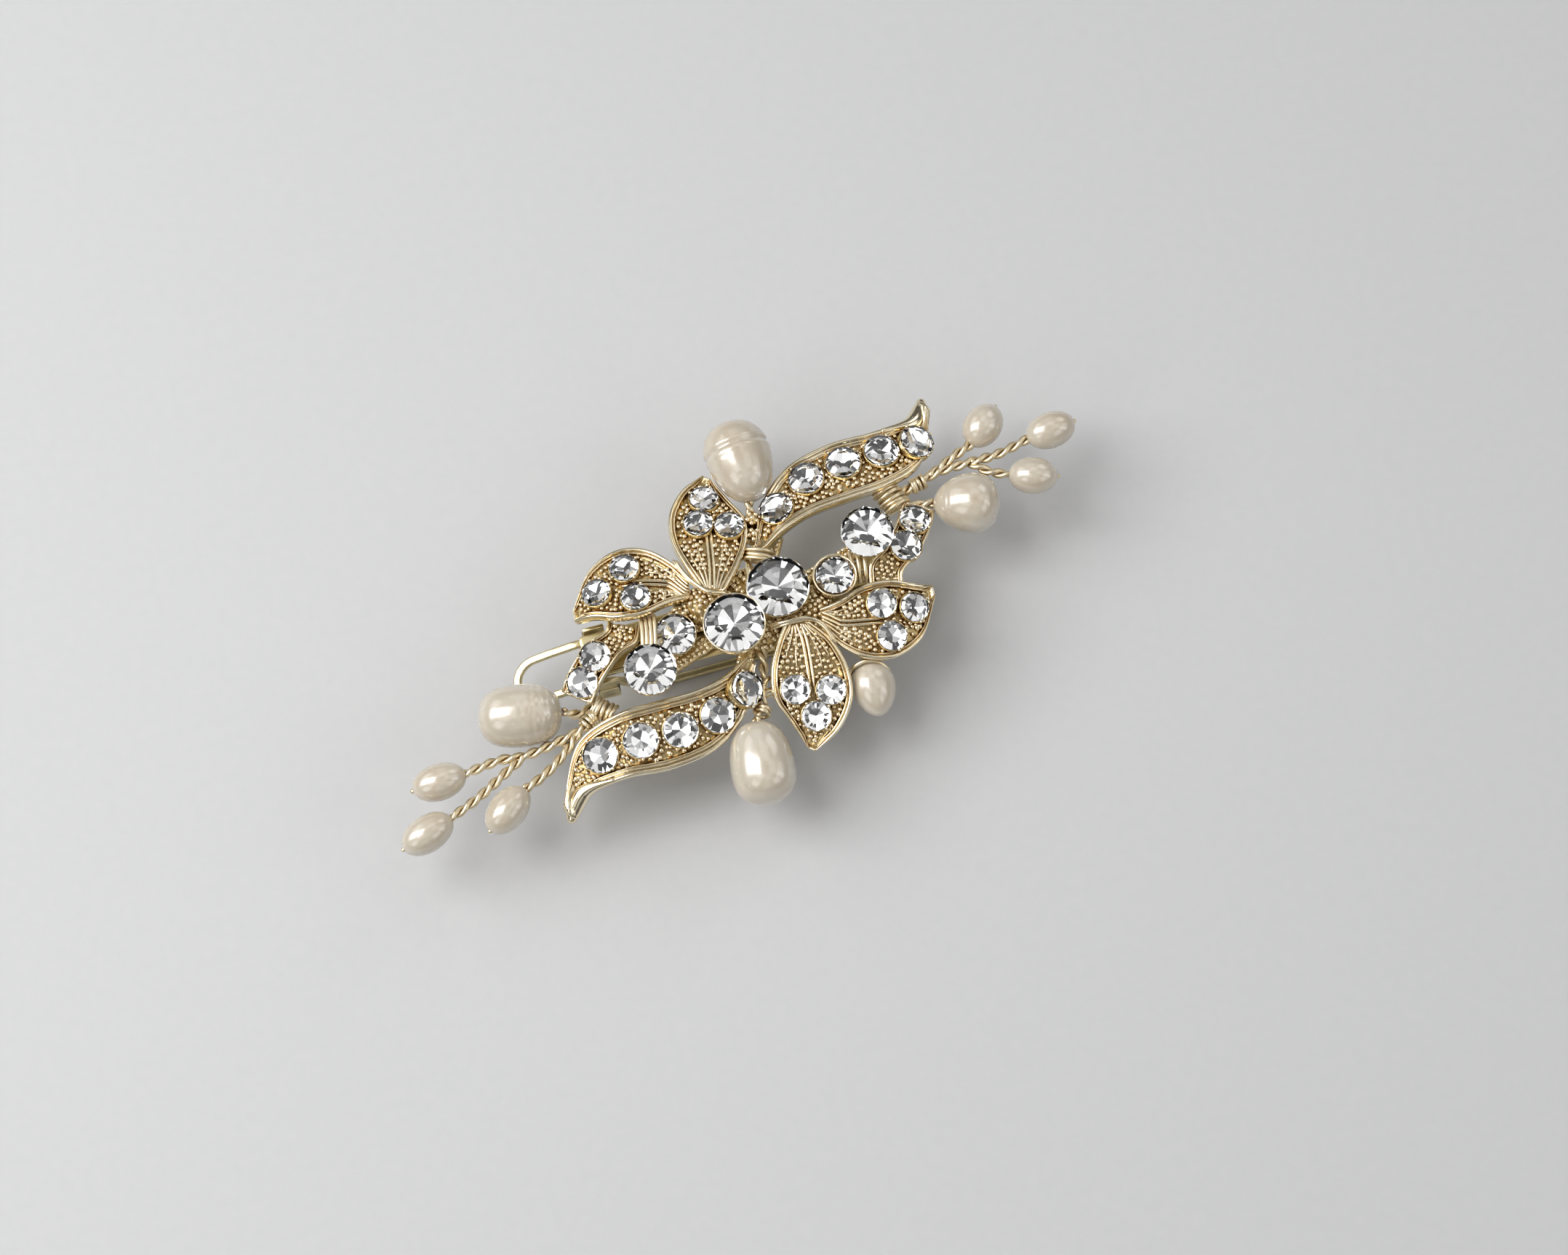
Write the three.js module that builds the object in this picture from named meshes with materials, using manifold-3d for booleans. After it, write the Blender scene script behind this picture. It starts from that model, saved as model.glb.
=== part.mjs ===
// Hair barrette: a cast flower of four leaves and four ribbons, set with crystals and
// with freshwater pearls on twisted wire stems, mounted on a French spring clip.
// Millimetres. +X runs along the clip towards its hinge, +Z up out of the flower.
import * as THREE from "three";
import { mergeVertices } from "three/addons/utils/BufferGeometryUtils.js";
import Module from "manifold-3d";

const wasm = await Module();
wasm.setup();

// ---- Driving dimensions -------------------------------------------------------------

const GAP = 0.3;

const CLIP = {
  plateTop: 9.6,
  plateThickness: 0.6,
  plateWidth: 7.8,
  neckWidth: 5.5,
  plateEndX: -21.4,
  middleX: -2.0,
  hingeX: 16.2,
  hingeZ: 7.3,
  catchX: -19.4,
  earSpan: 7.4,
};
const ARM = { width: 6.1, rail: 0.95, thickness: 0.8, loopX: -30.2, slotEndX: 11.2 };
const PIN_RADIUS = 0.5;
const BORE_RADIUS = 0.62;
const EYE_RADIUS = 1.2;
const EAR_THICKNESS = 0.5;
const SPRING = { width: 5.0, thickness: 0.35, halfLength: 14.5, middleZ: 6.15, endZ: 8.0 };

const BASE = { bottom: 9.9, thickness: 0.7, radius: 5.2, armWidth: 2.2, postRadius: 0.8 };

const BLADE = { thickness: 0.75, rimHeight: 0.6, rimInner: 0.9, rimShoulder: 0.86, steps: 12 };

const CENTER_STONE = 3.6;
const WIRED_STONE = 3.05;
const SIDE_STONE = 2.6;
const LEAF_STONE = 1.8;
const RIBBON_STONE = 2.1;
const SHORT_RIBBON_STONE = 1.85;

const STONE_SIDES = 12;

const CUP_SIDES = 16;
const CUP_WALL = 0.4;
const CUP_LIP = 0.35;
const STONE_CLEARANCE = 0.12;

const WIRE_RADIUS = 0.45;
const LASHING_RADIUS = 1.0;

// ---- Materials ----------------------------------------------------------------------

function metal(name, color, roughness) {
  return new THREE.MeshStandardMaterial({ name, color, roughness, metalness: 1 });
}

const castGold = () => metal("cast_gold", 0xe0c48c, 0.28);
const clipBrass = () => metal("clip_brass", 0xcdbb7d, 0.35);
const springSteel = () => metal("spring_steel", 0xb9b4a6, 0.32);
const wireGold = () => metal("wire_gold", 0xc9b285, 0.45);

function crystal() {
  return new THREE.MeshStandardMaterial({ name: "crystal", color: 0xe9eef2, roughness: 0.03 });
}

function nacre() {
  return new THREE.MeshStandardMaterial({ name: "pearl", color: 0xeadfce, roughness: 0.25 });
}

// ---- Solids -------------------------------------------------------------------------

function toSolid(geometry) {
  const bare = geometry.clone();
  bare.deleteAttribute("normal");
  bare.deleteAttribute("uv");
  const merged = mergeVertices(bare, 1e-4);
  return new wasm.Manifold(new wasm.Mesh({
    numProp: 3,
    vertProperties: new Float32Array(merged.attributes.position.array),
    triVerts: new Uint32Array(merged.index.array),
  }));
}

function toGeometry(solid) {
  const mesh = solid.getMesh();
  const geometry = new THREE.BufferGeometry();
  geometry.setAttribute("position", new THREE.BufferAttribute(mesh.vertProperties, 3));
  geometry.setIndex(new THREE.BufferAttribute(mesh.triVerts, 1));
  geometry.computeVertexNormals();
  return geometry;
}

function join(geometries) {
  const solids = geometries.map(toSolid);
  return toGeometry(solids.reduce((all, solid) => all.add(solid)));
}

function cut(geometry, cutters) {
  return toGeometry(cutters.reduce((rest, cutter) => rest.subtract(toSolid(cutter)), toSolid(geometry)));
}

function intersect(first, second) {
  return toGeometry(toSolid(first).intersect(toSolid(second)));
}

function box(minimum, maximum) {
  const low = new THREE.Vector3(...minimum);
  const high = new THREE.Vector3(...maximum);
  const size = high.clone().sub(low);
  const middle = low.clone().add(high).multiplyScalar(0.5);
  return new THREE.BoxGeometry(size.x, size.y, size.z).translate(middle.x, middle.y, middle.z);
}

// A cylinder along Y between two Y values, with its axis at (x, z).
function crossCylinder(radius, x, z, fromY, toY) {
  const cylinder = new THREE.CylinderGeometry(radius, radius, toY - fromY, 16);
  return cylinder.translate(x, (fromY + toY) / 2, z);
}

// A solid of revolution about Z from (radius, z) pairs that start and end on the axis.
function turned(profile, segments) {
  const points = profile.map(([radius, z]) => new THREE.Vector2(radius, z));
  return new THREE.LatheGeometry(points, segments).rotateX(Math.PI / 2);
}

// A side view drawn in (x, z), made into a solid of the given width centred on Y = 0.
function sideExtrusion(shape, width) {
  const solid = new THREE.ExtrudeGeometry(shape, { depth: width, bevelEnabled: false });
  return solid.rotateX(Math.PI / 2).translate(0, width / 2, 0);
}

// The side view of a bent strip of even thickness along (x, z) points.
function stripShape(line, thickness) {
  const points = line.map(([x, z]) => new THREE.Vector2(x, z));
  const sideAt = (index, sign) => {
    const before = points[Math.max(index - 1, 0)];
    const after = points[Math.min(index + 1, points.length - 1)];
    const along = after.clone().sub(before).normalize();
    const across = new THREE.Vector2(-along.y, along.x).multiplyScalar(sign * thickness / 2);
    return points[index].clone().add(across);
  };
  const upper = points.map((_, index) => sideAt(index, 1));
  const lower = points.map((_, index) => sideAt(index, -1));
  return new THREE.Shape([...lower, ...upper.reverse()]);
}

// A round wire through the given points.
function wire(points, radius, steps) {
  const path = new THREE.CatmullRomCurve3(points.map((place) => new THREE.Vector3(...place)));
  const section = new THREE.Shape();
  section.absarc(0, 0, radius, 0, Math.PI * 2);
  return new THREE.ExtrudeGeometry(section, { steps, curveSegments: 4, extrudePath: path });
}

const barrette = new THREE.Group();

function addPiece(name, geometry, material) {
  const mesh = new THREE.Mesh(geometry, material);
  mesh.name = name;
  barrette.add(mesh);
  return mesh;
}

// ---- French clip --------------------------------------------------------------------

// Seen from above: wide in the middle, necked, and wide again over the hinge.
function plateOutline() {
  const wide = CLIP.plateWidth / 2;
  const neck = CLIP.neckWidth / 2;
  const lug = CLIP.earSpan / 2;
  const taper = 1.2;
  const wideFrom = CLIP.middleX - 7;
  const wideTo = CLIP.middleX + 7;
  const hingeFrom = CLIP.hingeX - 3;
  const upperHalf = [
    [CLIP.hingeX + EYE_RADIUS, lug], [hingeFrom + taper, lug], [hingeFrom, neck],
    [wideTo + taper, neck], [wideTo, wide], [wideFrom, wide], [wideFrom - taper, neck],
    [CLIP.plateEndX, neck],
  ];
  const lowerHalf = upperHalf.map(([x, y]) => [x, -y]).reverse();
  return new THREE.Shape([...upperHalf, ...lowerHalf].map(([x, y]) => new THREE.Vector2(x, y)));
}

function topPlate() {
  const thickness = CLIP.plateThickness;
  const sheet = new THREE.ExtrudeGeometry(plateOutline(), { depth: thickness, bevelEnabled: false });
  sheet.translate(0, 0, CLIP.plateTop - thickness);
  const outer = CLIP.earSpan / 2;
  const lugs = [-1, 1].map((side) => {
    const near = side * (outer - EAR_THICKNESS);
    const far = side * outer;
    return box(
      [CLIP.hingeX - EYE_RADIUS, Math.min(near, far), CLIP.hingeZ - EYE_RADIUS],
      [CLIP.hingeX + EYE_RADIUS - 0.1, Math.max(near, far), CLIP.plateTop - thickness / 2],
    );
  });
  const bore = crossCylinder(BORE_RADIUS, CLIP.hingeX, CLIP.hingeZ, -outer - 1, outer + 1);
  return cut(join([sheet, ...lugs]), [bore]);
}

// Two rails joined by a round end that sticks out past the plate, and a solid hinge end.
function armOutline() {
  const half = ARM.width / 2;
  const slot = half - ARM.rail;
  const end = CLIP.hingeX + EYE_RADIUS;
  const outline = new THREE.Shape();
  outline.moveTo(end, half);
  outline.lineTo(ARM.loopX + half, half);
  outline.absarc(ARM.loopX + half, 0, half, Math.PI / 2, Math.PI * 1.5);
  outline.lineTo(end, -half);
  const hole = new THREE.Path();
  hole.moveTo(ARM.slotEndX, slot);
  hole.lineTo(ARM.loopX + half, slot);
  hole.absarc(ARM.loopX + half, 0, slot, Math.PI / 2, Math.PI * 1.5);
  hole.lineTo(ARM.slotEndX, -slot);
  outline.holes.push(hole);
  return outline;
}

// Flat in the middle, where the barrette rests, and bowed up to the hinge and the catch.
function claspArm() {
  const middle = ARM.thickness / 2;
  const line = [
    [CLIP.hingeX - 0.4, CLIP.hingeZ - 0.4], [13.8, 4.7], [11.6, 2.2], [9.6, 0.9], [7.8, middle],
    [-12.4, middle], [-14.2, 1.2], [-16.2, 3.3], [-18.0, 5.7], [-19.6, 7.1], [-21.5, 7.55],
    [-25.5, 6.7], [ARM.loopX - 0.3, 4.9],
  ];
  const strip = sideExtrusion(stripShape(line, ARM.thickness), ARM.width);
  const plan = new THREE.ExtrudeGeometry(armOutline(), {
    depth: CLIP.plateTop,
    bevelEnabled: false,
    curveSegments: 10,
  }).translate(0, 0, -1);
  const half = ARM.width / 2;
  const eye = crossCylinder(EYE_RADIUS, CLIP.hingeX, CLIP.hingeZ, -half, half);
  const bore = crossCylinder(BORE_RADIUS, CLIP.hingeX, CLIP.hingeZ, -half - 1, half + 1);
  return cut(join([intersect(strip, plan), eye]), [bore]);
}

// A thin leaf spring, bowed down towards the arm.
function tensionSpring() {
  const steps = 10;
  const rise = SPRING.endZ - SPRING.middleZ;
  const line = Array.from({ length: steps + 1 }, (_, index) => {
    const along = (index / steps) * 2 - 1;
    return [CLIP.middleX - along * SPRING.halfLength, SPRING.middleZ + rise * along * along];
  });
  return sideExtrusion(stripShape(line, SPRING.thickness), SPRING.width);
}

// One ear of the catch: a springy tab beside the arm's loop, flared where a finger pinches it.
function latchWing(side) {
  const outer = CLIP.earSpan / 2;
  const inner = outer - EAR_THICKNESS;
  const bump = 0.1;
  const section = [
    [outer, CLIP.plateTop - 0.1], [inner, CLIP.plateTop - 0.1], [inner, 7.1], [inner - bump, 6.8],
    [inner, 6.5], [outer + 0.45, 5.6], [outer + 0.8, 5.9], [outer, 6.9],
  ];
  const mirrored = section.map(([y, z]) => new THREE.Vector2(side * y, z));
  const length = 2.6;
  const wing = new THREE.ExtrudeGeometry(new THREE.Shape(mirrored), {
    depth: length,
    bevelEnabled: false,
  });
  // The section's (y, z) plane and its depth become the row's Y, Z and X.
  const turn = new THREE.Matrix4().makeBasis(
    new THREE.Vector3(0, 1, 0), new THREE.Vector3(0, 0, 1), new THREE.Vector3(1, 0, 0),
  );
  return wing.applyMatrix4(turn).translate(CLIP.catchX - length / 2, 0, 0);
}

function addClip() {
  const pinReach = CLIP.earSpan / 2;
  const pin = crossCylinder(PIN_RADIUS, CLIP.hingeX, CLIP.hingeZ, -pinReach, pinReach);
  addPiece("top_plate", topPlate(), clipBrass());
  addPiece("clasp_arm", claspArm(), clipBrass());
  addPiece("tension_spring", tensionSpring(), springSteel());
  addPiece("hinge_pin", pin, springSteel());
  addPiece("latch_wing_front", latchWing(-1), clipBrass());
  addPiece("latch_wing_back", latchWing(1), clipBrass());
}

// ---- Cast base under the flower -----------------------------------------------------

// Each arm: where it ends in plan, and the height of the post that carries the piece above.
const BASE_ARMS = [
  [-9.4, 4.6, 11.5], [-3.4, 6.2, 11.6], [9.6, -5.0, 11.4], [3.4, -6.2, 11.6],
  [-4.6, -8.4, 10.9], [4.9, 8.8, 10.9], [-15.0, 0.2, 10.6], [15.0, 0.6, 10.6],
  [-13.9, -4.9, 11.6], [14.4, 4.2, 11.6],
];

function baseArm([x, y, postTop]) {
  const reach = Math.hypot(x, y);
  const half = BASE.armWidth / 2;
  const bar = new THREE.Shape();
  bar.moveTo(0, -half);
  bar.lineTo(reach, -half);
  bar.absarc(reach, 0, half, -Math.PI / 2, Math.PI / 2);
  bar.lineTo(0, half);
  const flat = new THREE.ExtrudeGeometry(bar, {
    depth: BASE.thickness,
    bevelEnabled: false,
    curveSegments: 2,
  });
  flat.rotateZ(Math.atan2(y, x)).translate(0, 0, BASE.bottom);
  const height = postTop - BASE.bottom;
  const post = new THREE.CylinderGeometry(BASE.postRadius, BASE.postRadius, height, 6);
  post.rotateX(Math.PI / 2).translate(x, y, BASE.bottom + height / 2);
  return [flat, post];
}

function addBase() {
  const disc = new THREE.CylinderGeometry(BASE.radius, BASE.radius, BASE.thickness, 20);
  disc.rotateX(Math.PI / 2).translate(0, 0, BASE.bottom + BASE.thickness / 2);
  addPiece("flower_base", join([disc, ...BASE_ARMS.flatMap(baseArm)]), castGold());
}

// ---- Leaves and ribbons -------------------------------------------------------------

// A blade is given by rows from its root to its tip: one edge point and the opposite one.
// Each outline serves two blades, half a turn apart about the flower's middle.
const SIDE_LEAF = [
  [[-7.5, 2.7, 13.3], [-6.9, 5.2, 12.9]],
  [[-10.3, 2.6, 13.8], [-8.4, 7.9, 12.7]],
  [[-13.5, 2.0, 14.2], [-10.9, 10.3, 12.6]],
  [[-16.5, 2.4, 14.1], [-14.1, 11.2, 12.4]],
  [[-19.1, 3.5, 13.3], [-17.9, 9.9, 12.0]],
  [[-21.5, 4.1, 11.8], [-21.4, 5.2, 11.6]],
];
const END_LEAF = [
  [[-5.5, 4.0, 13.8], [-2.9, 2.9, 13.7]],
  [[-7.0, 6.6, 13.5], [-1.2, 5.0, 13.5]],
  [[-7.7, 10.4, 12.6], [0.6, 8.1, 12.8]],
  [[-7.0, 14.0, 11.8], [1.2, 11.1, 12.0]],
  [[-4.6, 16.9, 10.9], [0.2, 14.4, 10.8]],
  [[-1.5, 18.4, 9.8], [-0.9, 17.8, 9.8]],
];
const LONG_RIBBON = [
  [[-2.1, -7.2, 13.0], [-3.1, -6.4, 13.5]],
  [[-4.9, -12.4, 11.4], [-6.3, -7.9, 13.3]],
  [[-9.2, -15.6, 11.5], [-10.0, -8.6, 13.3]],
  [[-14.9, -16.6, 11.6], [-14.8, -8.6, 13.3]],
  [[-20.7, -16.2, 11.5], [-19.7, -8.7, 13.0]],
  [[-25.4, -16.7, 10.5], [-24.8, -10.4, 11.8]],
  [[-27.7, -18.9, 9.0], [-28.7, -17.1, 9.5]],
];
const SHORT_RIBBON = [
  [[-13.8, 1.5, 12.1], [-17.6, 3.0, 12.1]],
  [[-14.9, -0.6, 12.6], [-18.1, 2.0, 12.3]],
  [[-17.1, -1.5, 12.8], [-20.8, 0.7, 12.3]],
  [[-18.9, -2.9, 12.6], [-23.0, -1.0, 12.1]],
  [[-20.6, -4.5, 12.2], [-24.4, -2.6, 11.7]],
  [[-22.2, -6.4, 11.6], [-25.2, -3.7, 11.0]],
];

// Where the stones sit on a blade, as (u, v).
const LEFT_LEAF_SEATS = [[0.46, -0.48], [0.55, 0.38], [0.76, -0.14]];
const RIGHT_LEAF_SEATS = [[0.52, -0.42], [0.58, 0.44], [0.77, -0.16]];
const BACK_LEAF_SEATS = [[0.52, 0.54], [0.53, -0.24], [0.74, -0.06]];
const FRONT_LEAF_SEATS = [[0.54, 0.42], [0.54, -0.46], [0.72, -0.06]];
const FRONT_RIBBON_SEATS = [[0.11, -0.3], [0.28, -0.1], [0.44, 0], [0.59, 0], [0.75, 0]];
const BACK_RIBBON_SEATS = [[0.2, -0.1], [0.38, -0.2], [0.53, -0.2], [0.68, -0.2], [0.83, 0.14]];
const LEFT_RIBBON_SEATS = [[0.5, 0.12], [0.8, 0]];
const RIGHT_RIBBON_SEATS = [[0.46, 0.12], [0.77, 0]];

const BLADES = [
  { name: "leaf_left", rows: SIDE_LEAF, stones: LEFT_LEAF_SEATS, turn: 0, shift: [0, 0] },
  { name: "leaf_right", rows: SIDE_LEAF, stones: RIGHT_LEAF_SEATS, turn: 184, shift: [-0.8, -0.7] },
  { name: "leaf_back", rows: END_LEAF, stones: BACK_LEAF_SEATS, turn: 0, shift: [0, 0] },
  { name: "leaf_front", rows: END_LEAF, stones: FRONT_LEAF_SEATS, turn: 182, shift: [-0.4, -0.4] },
  { name: "ribbon_long_front", rows: LONG_RIBBON, gems: FRONT_RIBBON_SEATS, turn: 0, shift: [0, 0] },
  { name: "ribbon_long_back", rows: LONG_RIBBON, gems: BACK_RIBBON_SEATS, turn: 185, shift: [0.2, -0.4] },
  { name: "ribbon_short_left", rows: SHORT_RIBBON, gems: LEFT_RIBBON_SEATS, turn: 0, shift: [0, 0] },
  { name: "ribbon_short_right", rows: SHORT_RIBBON, gems: RIGHT_RIBBON_SEATS, turn: 190, shift: [-0.3, -2] },
];

// The surface between a blade's edges: u runs from root to tip, v from -1 to 1 across.
function bladeSurface(rows) {
  const edge = (side) => new THREE.CatmullRomCurve3(rows.map((row) => new THREE.Vector3(...row[side])));
  const left = edge(0);
  const right = edge(1);
  return (u, v) => left.getPoint(u).lerp(right.getPoint(u), (v + 1) / 2);
}

// The position and upward normal of a seat on the floor between the rims.
function seatOn(surface, [u, v]) {
  const step = 0.05;
  const along = surface(u + step, v).sub(surface(u - step, v));
  const across = surface(u, v + step).sub(surface(u, v - step));
  const normal = along.cross(across).normalize();
  if (normal.z < 0) normal.negate();
  return { place: surface(u, v).addScaledVector(normal, -BLADE.rimHeight), normal };
}

// A shallow tray: a floor with raised rims, of even thickness underneath.
function bladeGeometry(surface) {
  const columns = [
    [-1, 0], [-BLADE.rimInner, 0], [-BLADE.rimShoulder, -BLADE.rimHeight],
    [BLADE.rimShoulder, -BLADE.rimHeight], [BLADE.rimInner, 0], [1, 0],
  ];
  const across = columns.length;
  const positions = [];
  for (let row = 0; row <= BLADE.steps; row += 1) {
    const u = row / BLADE.steps;
    for (const [v, rise] of columns) {
      const place = surface(u, v);
      positions.push(place.x, place.y, place.z + rise);
    }
    for (const [v] of columns) {
      const place = surface(u, v);
      positions.push(place.x, place.y, place.z - BLADE.rimHeight - BLADE.thickness);
    }
  }
  const ring = [];
  for (let column = 0; column < across; column += 1) ring.push(column);
  for (let column = across - 1; column >= 0; column -= 1) ring.push(across + column);
  const triangles = [];
  const ringSize = ring.length;
  for (let row = 0; row < BLADE.steps; row += 1) {
    for (let index = 0; index < ringSize; index += 1) {
      const next = (index + 1) % ringSize;
      const here = row * ringSize;
      const there = here + ringSize;
      triangles.push(here + ring[index], here + ring[next], there + ring[next]);
      triangles.push(here + ring[index], there + ring[next], there + ring[index]);
    }
  }
  const lastRow = BLADE.steps * ringSize;
  for (let column = 0; column < across - 1; column += 1) {
    const under = across + column;
    triangles.push(column, under, under + 1, column, under + 1, column + 1);
    triangles.push(lastRow + column, lastRow + under + 1, lastRow + under);
    triangles.push(lastRow + column, lastRow + column + 1, lastRow + under + 1);
  }
  const geometry = new THREE.BufferGeometry();
  geometry.setAttribute("position", new THREE.Float32BufferAttribute(positions, 3));
  geometry.setIndex(triangles);
  return geometry;
}

// A round stone with a flat table, a girdle and a back cut off flat; z = 0 is its back.
function stoneGeometry(radius, backDepth) {
  const backRadius = radius * 0.62;
  const girdle = radius * 0.08;
  const crown = radius * 0.34;
  const table = radius * 0.56;
  const profile = [
    [0, 0], [backRadius, 0], [radius, backDepth], [radius, backDepth + girdle],
    [table, backDepth + girdle + crown], [0, backDepth + girdle + crown],
  ];
  return turned(profile, STONE_SIDES);
}

function placeOn(geometry, { place, normal }, lift) {
  const turn = new THREE.Quaternion().setFromUnitVectors(new THREE.Vector3(0, 0, 1), normal);
  const target = place.clone().addScaledVector(normal, lift);
  return geometry.applyQuaternion(turn).translate(target.x, target.y, target.z);
}

// Leaf stones are pieces of their own; a ribbon's gems are joined to its body.
function addBlade({ name, rows, stones = [], gems = [], turn, shift }) {
  const surface = bladeSurface(rows);
  const gemRadius = rows === SHORT_RIBBON ? SHORT_RIBBON_STONE : RIBBON_STONE;
  const sunkGems = gems.map((seat) => (
    placeOn(stoneGeometry(gemRadius, gemRadius * 0.4), seatOn(surface, seat), -GAP)
  ));
  const pieces = [addPiece(name, join([bladeGeometry(surface), ...sunkGems]), castGold())];
  stones.forEach((seat, index) => {
    const stone = placeOn(stoneGeometry(LEAF_STONE, LEAF_STONE * 0.35), seatOn(surface, seat), GAP);
    pieces.push(addPiece(`${name}_stone_${index + 1}`, stone, crystal()));
  });
  for (const piece of pieces) {
    piece.rotation.z = THREE.MathUtils.degToRad(turn);
    piece.position.set(shift[0], shift[1], 0);
  }
}

// ---- Round cups and their stones ----------------------------------------------------

// place is the middle of the stone's girdle; foot is the height where the cup's post ends.
const CUPS = [
  { name: "center", side: "left", radius: CENTER_STONE, depth: 2.6, place: [-3.6, -3.0, 17.0], foot: 11.1 },
  { name: "center", side: "right", radius: CENTER_STONE, depth: 2.6, place: [2.8, 0.8, 14.4], foot: 11.1 },
  { name: "side", side: "left", radius: SIDE_STONE, depth: 1.8, place: [-10.4, -1.1, 12.9], foot: 11.1 },
  { name: "side", side: "right", radius: SIDE_STONE, depth: 1.8, place: [9.8, 0.7, 12.9], foot: 11.1 },
  { name: "wired", side: "left", radius: WIRED_STONE, depth: 2.1, place: [-14.5, -5.2, 15.2], foot: 11.9 },
  { name: "wired", side: "right", radius: WIRED_STONE, depth: 2.1, place: [14.8, 4.2, 15.2], foot: 11.9 },
];

function cupGeometry({ radius, depth, place, foot }) {
  const inner = radius + STONE_CLEARANCE;
  const outer = inner + CUP_WALL;
  const floorRadius = radius * 0.55;
  const postRadius = radius * 0.28;
  const profile = [
    [0, foot - place[2]], [postRadius, foot - place[2]], [postRadius, -depth],
    [floorRadius, -depth], [outer, -0.4], [outer, CUP_LIP], [inner, CUP_LIP], [inner, -0.5],
    [floorRadius - 0.2, CUP_WALL - depth], [0, CUP_WALL - depth],
  ];
  return turned(profile, CUP_SIDES);
}

function addCup(cup) {
  const { name, side, radius, depth, place } = cup;
  const setting = addPiece(`${name}_cup_${side}`, cupGeometry(cup), castGold());
  setting.position.set(...place);
  const backDepth = (depth - CUP_WALL) * 0.6;
  const stone = addPiece(`${name}_stone_${side}`, stoneGeometry(radius, backDepth), crystal());
  stone.position.set(place[0], place[1], place[2] - backDepth);
}

// ---- Pearls -------------------------------------------------------------------------

// length is along the drilled axis; heading and pitch turn that axis from +X.
// blunt 0 is an ellipsoid, 1 nearly a cylinder; taper narrows the far end.
const PEARLS = [
  { name: "pearl_left", at: [-30.6, -5.2, 11.0], length: 10.0, width: 7.6, heading: -10, blunt: 0.5, taper: 0 },
  { name: "pearl_right", at: [27.7, 6.0, 11.0], length: 8.0, width: 7.1, heading: 166, blunt: 0.1, taper: 0.22 },
  { name: "pearl_back", at: [3.0, 17.8, 12.4], length: 10.4, width: 7.9, heading: -86, blunt: 0.3, taper: 0.14 },
  { name: "pearl_front", at: [-4.6, -18.5, 10.6], length: 10.1, width: 7.8, heading: 84, blunt: 0.15, taper: 0.16 },
  { name: "pearl_button", at: [10.6, -13.2, 9.6], length: 6.6, width: 5.3, heading: -92, blunt: 0.1, taper: 0.2 },
  { name: "rice_pearl_left_1", at: [-41.8, -10.3, 10.5], length: 6.6, width: 4.4, heading: 4, blunt: 0, taper: 0 },
  { name: "rice_pearl_left_2", at: [-44.7, -16.0, 10.5], length: 6.8, width: 4.4, heading: 19, blunt: 0, taper: 0 },
  { name: "rice_pearl_left_3", at: [-34.9, -15.8, 10.5], length: 6.6, width: 4.5, heading: 36, blunt: 0, taper: 0 },
  { name: "rice_pearl_right_1", at: [32.5, 14.8, 10.8], length: 5.8, width: 4.6, heading: 222, blunt: 0, taper: 0 },
  { name: "rice_pearl_right_2", at: [40.2, 12.0, 10.8], length: 6.2, width: 4.4, heading: 186, blunt: 0, taper: 0 },
  { name: "rice_pearl_right_3", at: [36.5, 7.0, 10.8], length: 6.0, width: 4.5, heading: 162, blunt: 0, taper: 0 },
];

function pearlGeometry({ length, width, blunt, taper }) {
  const rings = 8;
  const profile = Array.from({ length: rings + 1 }, (_, index) => {
    const along = -Math.cos((index / rings) * Math.PI);
    const round = Math.sqrt(Math.max(1 - along * along, 0));
    const full = (1 - Math.abs(along) ** 5) ** 0.5;
    const radius = THREE.MathUtils.lerp(round, full, blunt) * (1 - taper * along);
    return [index === 0 || index === rings ? 0 : radius * width / 2, along * length / 2];
  });
  return turned(profile, 12).rotateY(Math.PI / 2);
}

function addPearl(pearl) {
  const mesh = addPiece(pearl.name, pearlGeometry(pearl), nacre());
  mesh.rotation.z = THREE.MathUtils.degToRad(pearl.heading);
  mesh.position.set(...pearl.at);
}

// ---- Wire stems ---------------------------------------------------------------------

// Each spray: a trunk from under the ribbon, and the stems that leave it for a rice pearl.
const SPRAYS = {
  left: {
    trunk: [[-21.9, -7.4, 10.9], [-23.7, -8.6, 10.7], [-26.6, -9.3, 10.5], [-31.4, -10.0, 10.5],
      [-34.2, -9.7, 10.5], [-38.2, -10.1, 10.5]],
    stems: [
      [[-31.4, -10.0, 10.5], [-34.6, -11.7, 10.5], [-38.0, -13.5, 10.5], [-41.1, -14.7, 10.5]],
      [[-24.4, -8.9, 10.6], [-26.9, -11.1, 10.5], [-29.5, -12.8, 10.5], [-31.9, -13.7, 10.5]],
    ],
  },
  right: {
    trunk: [[21.6, 9.6, 10.2], [25.5, 10.6, 10.6], [29.0, 10.7, 10.8], [33.2, 10.8, 10.8],
      [36.8, 11.7, 10.8]],
    stems: [
      [[24.5, 10.4, 10.5], [27.6, 11.8, 10.8], [30.1, 12.7, 10.8]],
      [[29.6, 10.7, 10.8], [31.6, 8.9, 10.8], [33.3, 8.0, 10.8]],
    ],
  },
};

function addSpray(side) {
  const { trunk, stems } = SPRAYS[side];
  const routes = [trunk, ...stems];
  const geometry = join(routes.map((route) => wire(route, WIRE_RADIUS, route.length * 3)));
  addPiece(`spray_stem_${side}`, geometry, wireGold());
}

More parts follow.
